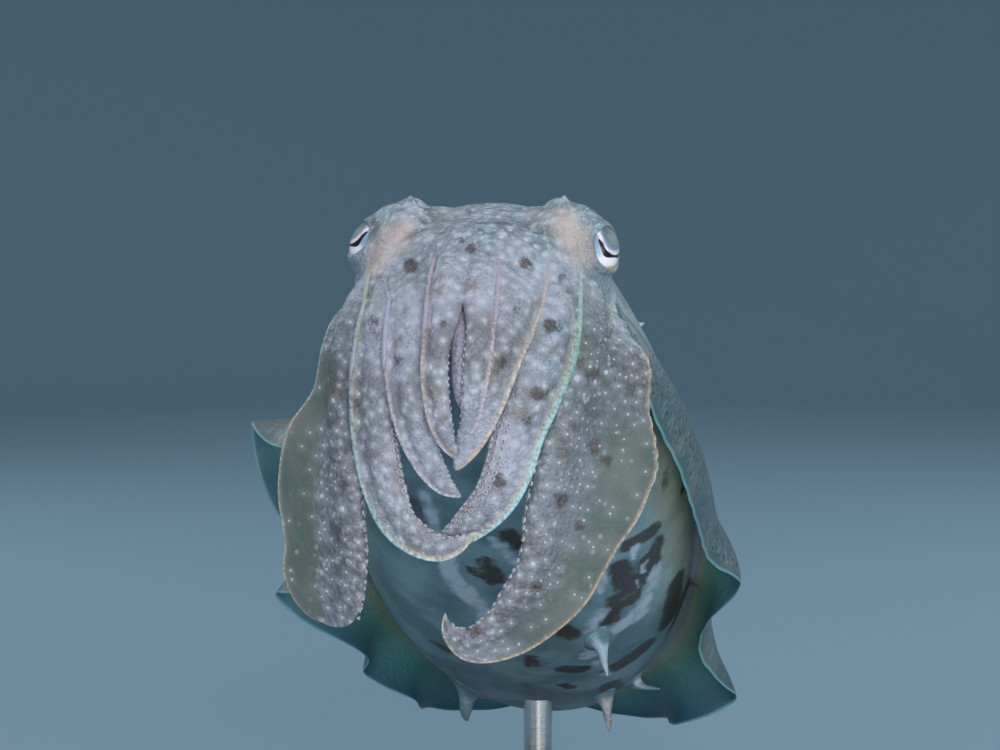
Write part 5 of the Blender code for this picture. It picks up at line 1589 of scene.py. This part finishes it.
def skin_paint():
    p = Paint("cuttlefish_skin")
    broad = p.noise(28.0, 4.0)
    mottle = p.noise(120.0, 4.0, 0.6)
    fine = p.noise(420.0, 3.0, 0.6)
    speck = p.noise(1100.0, 2.0, 0.6)
    fin, leaf, wide, belly = p.mark("fin"), p.mark("leaf"), p.mark("wide"), p.mark("belly")
    under, brown, peach = p.mark("under"), p.mark("brown"), p.mark("peach")
    p.colour = p.blend(p.step(broad, 0.35, 0.65), (0.152, 0.162, 0.187), (0.325, 0.343, 0.428))
    p.coat(p.both(p.step(mottle, 0.50, 0.66), 0.7), (0.170, 0.145, 0.140))
    p.coat(p.both(p.step(fine, 0.55, 0.75), 0.35), (0.50, 0.49, 0.53))
    # The sides are painted greener than the middle: painted shade, the blue-green cast of the light on the
    # sides.
    head_place = p.node("ShaderNodeSeparateXYZ")
    p.put(p.place, head_place.inputs[0])
    apart = p.sum("ABSOLUTE", p.sum("ADD", head_place.outputs["X"], 5 * MM))
    sides = p.both(p.step(apart, 18 * MM, 42 * MM), 0.9)
    p.coat(sides, (0.76, 0.97, 0.97), "MULTIPLY")
    # The head's pale net with a cyan tinge.
    high = p.both(p.step(head_place.outputs["Z"], 0.236, 0.258), p.without(peach))
    p.coat(p.both(high, 0.5), (0.145, 0.235, 0.285))
    dusk = p.both(high, p.step(p.noise(150.0, 3.0, 0.6, 0.5), 0.51, 0.61, 0.0, 0.75))
    p.coat(dusk, (0.055, 0.090, 0.105))
    net = p.both(p.step(p.noise(250.0, 3.0, 0.5, 0.25), 0.52, 0.62), 0.45)
    net = p.sum("MAXIMUM", net, p.both(p.step(p.cells(310.0), 0.34, 0.06), p.step(mottle, 0.62, 0.45)))
    p.coat(p.both(p.both(high, net), 0.85), (0.50, 0.66, 0.74))
    # The lowest arms are painted darker, a painted shade for the light falling off toward the bottom.
    # They have a smooth membrane outside and brown clouds inside.
    p.coat(p.both(wide, 0.62), (0.078, 0.080, 0.084))
    clouds = p.both(p.step(p.noise(70.0, 5.0, 0.65), 0.50, 0.64), wide)
    p.coat(p.both(clouds, 0.65), (0.062, 0.050, 0.046))
    smooth = p.blend(p.step(p.noise(50.0, 3.0), 0.4, 0.62), (0.068, 0.104, 0.092), (0.118, 0.134, 0.125))
    p.coat(p.both(leaf, 0.88), smooth)
    spots = p.both(p.step(p.cells(220.0), 0.27, 0.04), p.both(leaf, p.step(mottle, 0.60, 0.42)))
    p.coat(p.both(spots, 0.7), (0.33, 0.37, 0.40))
    rim = p.both(leaf, p.step(p.mark("edge"), 3.0, 0.5))
    p.coat(p.both(rim, 0.25), (0.38, 0.27, 0.21))
    # The body is painted a little darker than the head, a painted shade for the light falling off away from
    # the head.
    back = p.step(p.mark("lengthwise"), 0.0, 0.01, 0.0, 0.3)
    p.coat(back, (0.12, 0.145, 0.15))
    # The belly is a plain blue-grey, partly its own tone and partly painted shade, the blue of the dim light
    # below. The flanks below the fins are olive and tan, partly their own colour and partly painted light
    # that lifts the shade between the lowest arms and the fins.
    teal = p.blend(p.step(p.noise(45.0, 3.0), 0.35, 0.65), (0.082, 0.165, 0.205), (0.175, 0.30, 0.36))
    p.coat(p.both(belly, 0.9), teal)
    tan_with_painted_light = p.blend(p.step(p.noise(50.0, 3.0), 0.35, 0.65), (0.43, 0.49, 0.38), (0.68, 0.70, 0.54))
    p.coat(p.both(p.mark("flank"), 0.8), tan_with_painted_light)
    # The fins: olive at the root and green to blue at the edge below, grey with a spotted margin above.
    # The dark grey above is partly painted shade, and the olive and green below are partly painted light.
    upper = p.blend(p.step(p.noise(60.0, 3.0), 0.4, 0.65), (0.045, 0.090, 0.108), (0.105, 0.128, 0.120))
    lower = p.blend(p.step(fin, 0.15, 0.50), (0.36, 0.45, 0.31), (0.12, 0.35, 0.31))
    lower = p.blend(p.step(fin, 0.45, 0.95, 0.0, 0.85), lower, (0.020, 0.105, 0.170))
    membrane = p.blend(under, upper, lower)
    p.coat(p.step(fin, 0.02, 0.28, 0.0, 0.92), membrane)
    where = p.node("ShaderNodeCombineXYZ")
    p.put(p.both(fin, 4.0), where.inputs[0])
    p.put(p.both(p.mark("lengthwise"), 150.0), where.inputs[1])
    dashes = p.step(p.noise(1.3, 2.0, 0.6, place=where.outputs[0]), 0.53, 0.60)
    margin = p.both(p.step(fin, 0.62, 0.72), p.without(p.step(fin, 0.90, 0.95)))
    margin = p.both(margin, p.step(under, 1.0, 0.0, 0.15, 1.0))
    p.coat(p.both(p.both(dashes, margin), 0.20), (0.30, 0.42, 0.46))
    dark_bits = p.step(p.cells(330.0), 0.30, 0.22)
    p.coat(p.both(p.both(dark_bits, margin), 0.7), (0.02, 0.035, 0.045))
    # Painted shade: the fins grow darker and bluer toward the tail.
    painted_tail_shade = p.both(p.step(p.mark("lengthwise"), 0.55, 0.92, 0.0, 0.9), p.step(fin, 0.02, 0.28))
    p.coat(painted_tail_shade, (0.26, 0.48, 0.60), "MULTIPLY")
    p.coat(p.step(fin, 0.968, 0.988, 0.0, 0.45), (0.16, 0.46, 0.54))
    # Peach patches, stippled brown blotches and white patches.
    p.coat(p.both(peach, 0.75), (0.60, 0.45, 0.41))
    calm = p.without(p.sum("MAXIMUM", p.sum("MAXIMUM", fin, leaf), p.both(belly, 0.85)))
    stipple = p.both(p.sum("SUBTRACT", 0.42, p.cells(1500.0)), p.sum("ADD", p.both(calm, 0.55), 0.1))
    ragged = p.sum("ADD", brown, p.both(p.sum("SUBTRACT", p.noise(260.0, 5.0, 0.7, 0.6), 0.5), 1.5))
    spotted = p.step(p.sum("ADD", ragged, stipple), 0.26, 0.90)
    p.coat(p.both(spotted, 0.92), (0.046, 0.036, 0.034))
    frayed = p.sum("ADD", p.mark("white"), p.both(p.sum("SUBTRACT", p.noise(130.0, 4.0, 0.6, 0.8), 0.5), 1.8))
    p.coat(p.step(frayed, 0.35, 1.0, 0.0, 0.8), (0.46, 0.56, 0.68))
    # Soft lumps with pale tops, thick on the lowest arms and thin elsewhere.
    lumpy = p.step(p.noise(85.0, 3.0, 0.6, 0.4), 0.40, 0.60)
    bare = p.both(calm, p.without(p.sum("MAXIMUM", spotted, peach)))
    tops = p.both(p.step(p.cells(360.0), 0.52, 0.05), lumpy)
    lump = p.both(p.both(tops, bare), p.sum("ADD", p.both(wide, 0.6), 0.4))
    p.coat(p.both(lump, 0.5), (0.50, 0.50, 0.57))
    # Pigment cells.
    patchy = p.step(p.noise(75.0, 3.0, 0.6), 0.42, 0.62)
    dots = p.step(p.cells(1450.0), 0.46, 0.26)
    grains = p.both(p.both(dots, p.sum("ADD", p.both(patchy, 0.65), 0.35)), calm)
    p.coat(p.both(grains, p.step(peach, 0.0, 0.8, 0.62, 0.25)), (0.095, 0.074, 0.070))
    # Halos round the warts, the keels' bright lines and the lids.
    faint = p.sum("MAXIMUM", leaf, p.both(wide, 0.5))
    halo = p.both(p.mark("glow"), p.step(faint, 0.1, 1.0, 0.55, 0.2))
    p.coat(halo, (0.56, 0.58, 0.67))
    keel = p.node("ShaderNodeAttribute", attribute_name="keel")
    grainy = p.step(p.noise(900.0, 2.0), 0.35, 0.60, 0.25, 0.95)
    p.coat(p.both(keel.outputs["Alpha"], grainy), keel.outputs["Color"])
    lid = p.both(p.mark("lid"), p.step(p.noise(200.0), 0.40, 0.60, 0.4, 0.9))
    p.coat(lid, (0.20, 0.20, 0.15))
    ridge = p.relief(lump, 0.38 * MM)
    ridge = p.relief(fine, 0.26 * MM, ridge)
    grain = p.both(p.step(p.cells(620.0), 0.75, 0.1), calm)
    ridge = p.relief(grain, 0.22 * MM, ridge)
    ridge = p.relief(speck, 0.15 * MM, ridge)
    p.set(Base_Color=p.colour, Normal=ridge, Roughness=0.46, Specular_IOR_Level=0.5,
          Subsurface_Weight=0.18, Subsurface_Radius=(1.0, 0.75, 0.6), Subsurface_Scale=2.0 * MM)
    return p.material


def wart_paint():
    p = Paint("pale_wart")
    p.set(Base_Color=p.blend(p.noise(500.0), (0.50, 0.52, 0.60), (0.37, 0.38, 0.44)),
          Roughness=0.35, Subsurface_Weight=0.2, Subsurface_Scale=1.0 * MM)
    return p.material


def sucker_paint():
    p = Paint("sucker_rim")
    rim = p.blend(p.noise(300.0), (0.56, 0.55, 0.60), (0.40, 0.38, 0.43))
    # The hollow of each sucker is painted darker: a painted shade in the cup.
    p.set(Base_Color=p.blend(p.both(p.mark("cup"), 0.7), rim, (0.16, 0.14, 0.155)),
          Roughness=0.4, Subsurface_Weight=0.2, Subsurface_Scale=1.0 * MM)
    return p.material


def eye_paint():
    p = Paint("banded_eye")
    wander = p.both(p.sum("SUBTRACT", p.noise(160.0, 3.0), 0.5), 1.2)
    level = p.sum("ADD", p.mark("high"), wander)
    above = p.sum("ADD", p.mark("above"), wander)
    # Below the pupil: white, blue toward the face, orange and olive at the bottom.
    blue = p.both(p.step(p.mark("near"), 4.6, 7.0), p.step(level, -4.6, -1.0))
    p.colour = p.blend(blue, (0.92, 0.86, 0.92), (0.22, 0.35, 0.50))
    p.coat(p.step(level, -5.7, -6.2), (0.72, 0.50, 0.22))
    p.coat(p.step(level, -6.4, -7.0), (0.11, 0.10, 0.06))
    # The flap above: a pale edge, lavender behind it, then grey-green like the skin round it.
    pale = p.blend(p.step(p.noise(420.0, 3.0), 0.40, 0.62), (0.88, 0.74, 0.80), (0.50, 0.46, 0.60))
    flap = p.blend(p.step(above, 0.8, 1.9), pale, (0.20, 0.23, 0.36))
    haze = p.blend(p.step(p.noise(140.0, 3.0), 0.38, 0.62), (0.055, 0.105, 0.11), (0.14, 0.20, 0.21))
    flap = p.blend(p.step(above, 1.6, 2.8), flap, haze)
    p.coat(p.step(above, -0.1, 0.2), flap)
    pupil = p.step(p.sum("ADD", p.mark("pupil"), p.both(wander, 0.1)), 0.14, -0.06)
    p.coat(pupil, (0.002, 0.002, 0.003))
    skinny = p.step(above, 0.6, 2.0)
    p.set(Base_Color=p.colour, Roughness=p.step(skinny, 0.0, 1.0, 0.3, 0.6),
          Coat_Weight=p.step(skinny, 1.0, 0.0, 0.0, 0.35), Coat_Roughness=0.03,
          Normal=p.relief(p.both(p.noise(700.0, 3.0), skinny), 0.25 * MM))
    return p.material


def board_paint():
    p = Paint("black_board")
    p.set(Base_Color=p.blend(p.noise(60.0), (0.018, 0.018, 0.020), (0.026, 0.026, 0.028)),
          Roughness=p.step(p.noise(900.0), 0.3, 0.7, 0.38, 0.48))
    return p.material


def steel_paint():
    p = Paint("brushed_steel")
    stretched = p.node("ShaderNodeMapping")
    p.put(p.place, stretched.inputs["Vector"])
    stretched.inputs["Scale"].default_value = (1.0, 1.0, 60.0)
    brush = p.noise(60.0, 3.0, place=stretched.outputs[0])
    p.set(Base_Color=(0.62, 0.62, 0.63), Metallic=1.0, Roughness=p.step(brush, 0.3, 0.7, 0.26, 0.40),
          Normal=p.relief(brush, 0.02 * MM))
    return p.material


skin_material = skin_paint()
print("the skin's material has", len(skin_material.node_tree.nodes), "nodes")

# %% [markdown]
# ## Put the animal together
#
# Each finished piece takes the place of the solids that it was made from. Body and head are one skin
# each, and the collar hides where they meet, as it does on the animal. The eyes stay apart.

# %% Put the animal together
body = make_body(skin_material)
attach(body, "root")
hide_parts("mantle", "fin_left", "fin_right")

head = make_head(skin_material)
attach(head, "root")
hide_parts("head", "funnel",
            *[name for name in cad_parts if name.startswith(("arm_", "tentacle_"))])

eye_material = eye_paint()
for eye_name, eye_sign in (("eye_left", 1), ("eye_right", -1)):
    make_eye(eye_name, eye_sign, eye_material)

sucker_shape = turned_shape("sucker_shape", SUCKER_OUTLINE, SUCKER_SIDES)
sucker_points = seats_object("sucker_seats", *sucker_seats())
scatter("arm_suckers", sucker_points, sucker_shape, sucker_paint(), SUCKER_SEED, SUCKER_SPREAD)

wart_places, wart_ways, wart_sizes = wart_seats(head)
add_glow(head, wart_places, wart_sizes)
wart_shape = turned_shape("wart_shape", WART_OUTLINE, WART_SIDES)
wart_points = seats_object("wart_seats", wart_places, wart_ways, wart_sizes)
scatter("skin_warts", wart_points, wart_shape, wart_paint(), WART_SEED, WART_SPREAD)

# %% [markdown]
# ## The stand
#
# A museum would hold the model up with the plainest thing there is: a black board with rounded corners,
# and a steel rod that enters the mantle where it is heaviest.

# %% The stand
BASE_LENGTH = 236 * MM
BASE_WIDTH = 150 * MM
BASE_THICKNESS = 12 * MM
BASE_CORNER = 26 * MM
BASE_BEVEL = 1.5 * MM
ROD_RADIUS = 6 * MM
ROD_Y = 78 * MM
ROD_SIDES = 72


def rounded_outline(inset, steps=20):
    half = np.array([BASE_WIDTH / 2, BASE_LENGTH / 2]) - BASE_CORNER
    outline = []
    for quarter, (sx, sy) in enumerate(((1, 1), (-1, 1), (-1, -1), (1, -1))):
        for a in np.linspace(0, math.pi / 2, steps) + quarter * math.pi / 2:
            reach = BASE_CORNER - inset
            outline.append((sx * half[0] + reach * math.cos(a), sy * half[1] + reach * math.sin(a)))
    return np.array(outline)


def make_stand():
    rings = []
    for step in range(7):
        turn = math.pi / 2 * step / 6
        outline = rounded_outline(BASE_BEVEL * (1 - math.sin(turn)))
        rings.append(np.column_stack([outline, np.full(len(outline), BASE_BEVEL * (1 - math.cos(turn)))]))
    rings += [ring * [1, 1, -1] + [0, 0, BASE_THICKNESS] for ring in rings[::-1]]
    slab = Skin()
    slab.grid(rings)
    base = slab.build("stand_base_board", board_paint())
    base.data.set_sharp_from_angle(angle=math.radians(40))
    turn = round_angles(ROD_SIDES)
    circle = np.column_stack([np.cos(turn) * ROD_RADIUS, np.sin(turn) * ROD_RADIUS + ROD_Y])
    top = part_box("stand_rod")[1].z
    rod = Skin()
    rod.grid([np.column_stack([circle, np.full(ROD_SIDES, z)]) for z in (BASE_THICKNESS, top)])
    post = rod.build("stand_rod_post", steel_paint())
    post.data.set_sharp_from_angle(angle=math.radians(40))
    for piece, node, slot in ((base, "stand_base", "stand_board"), (post, "stand_rod", "stand_steel")):
        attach(piece, "root")
        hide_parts(node)


make_stand()
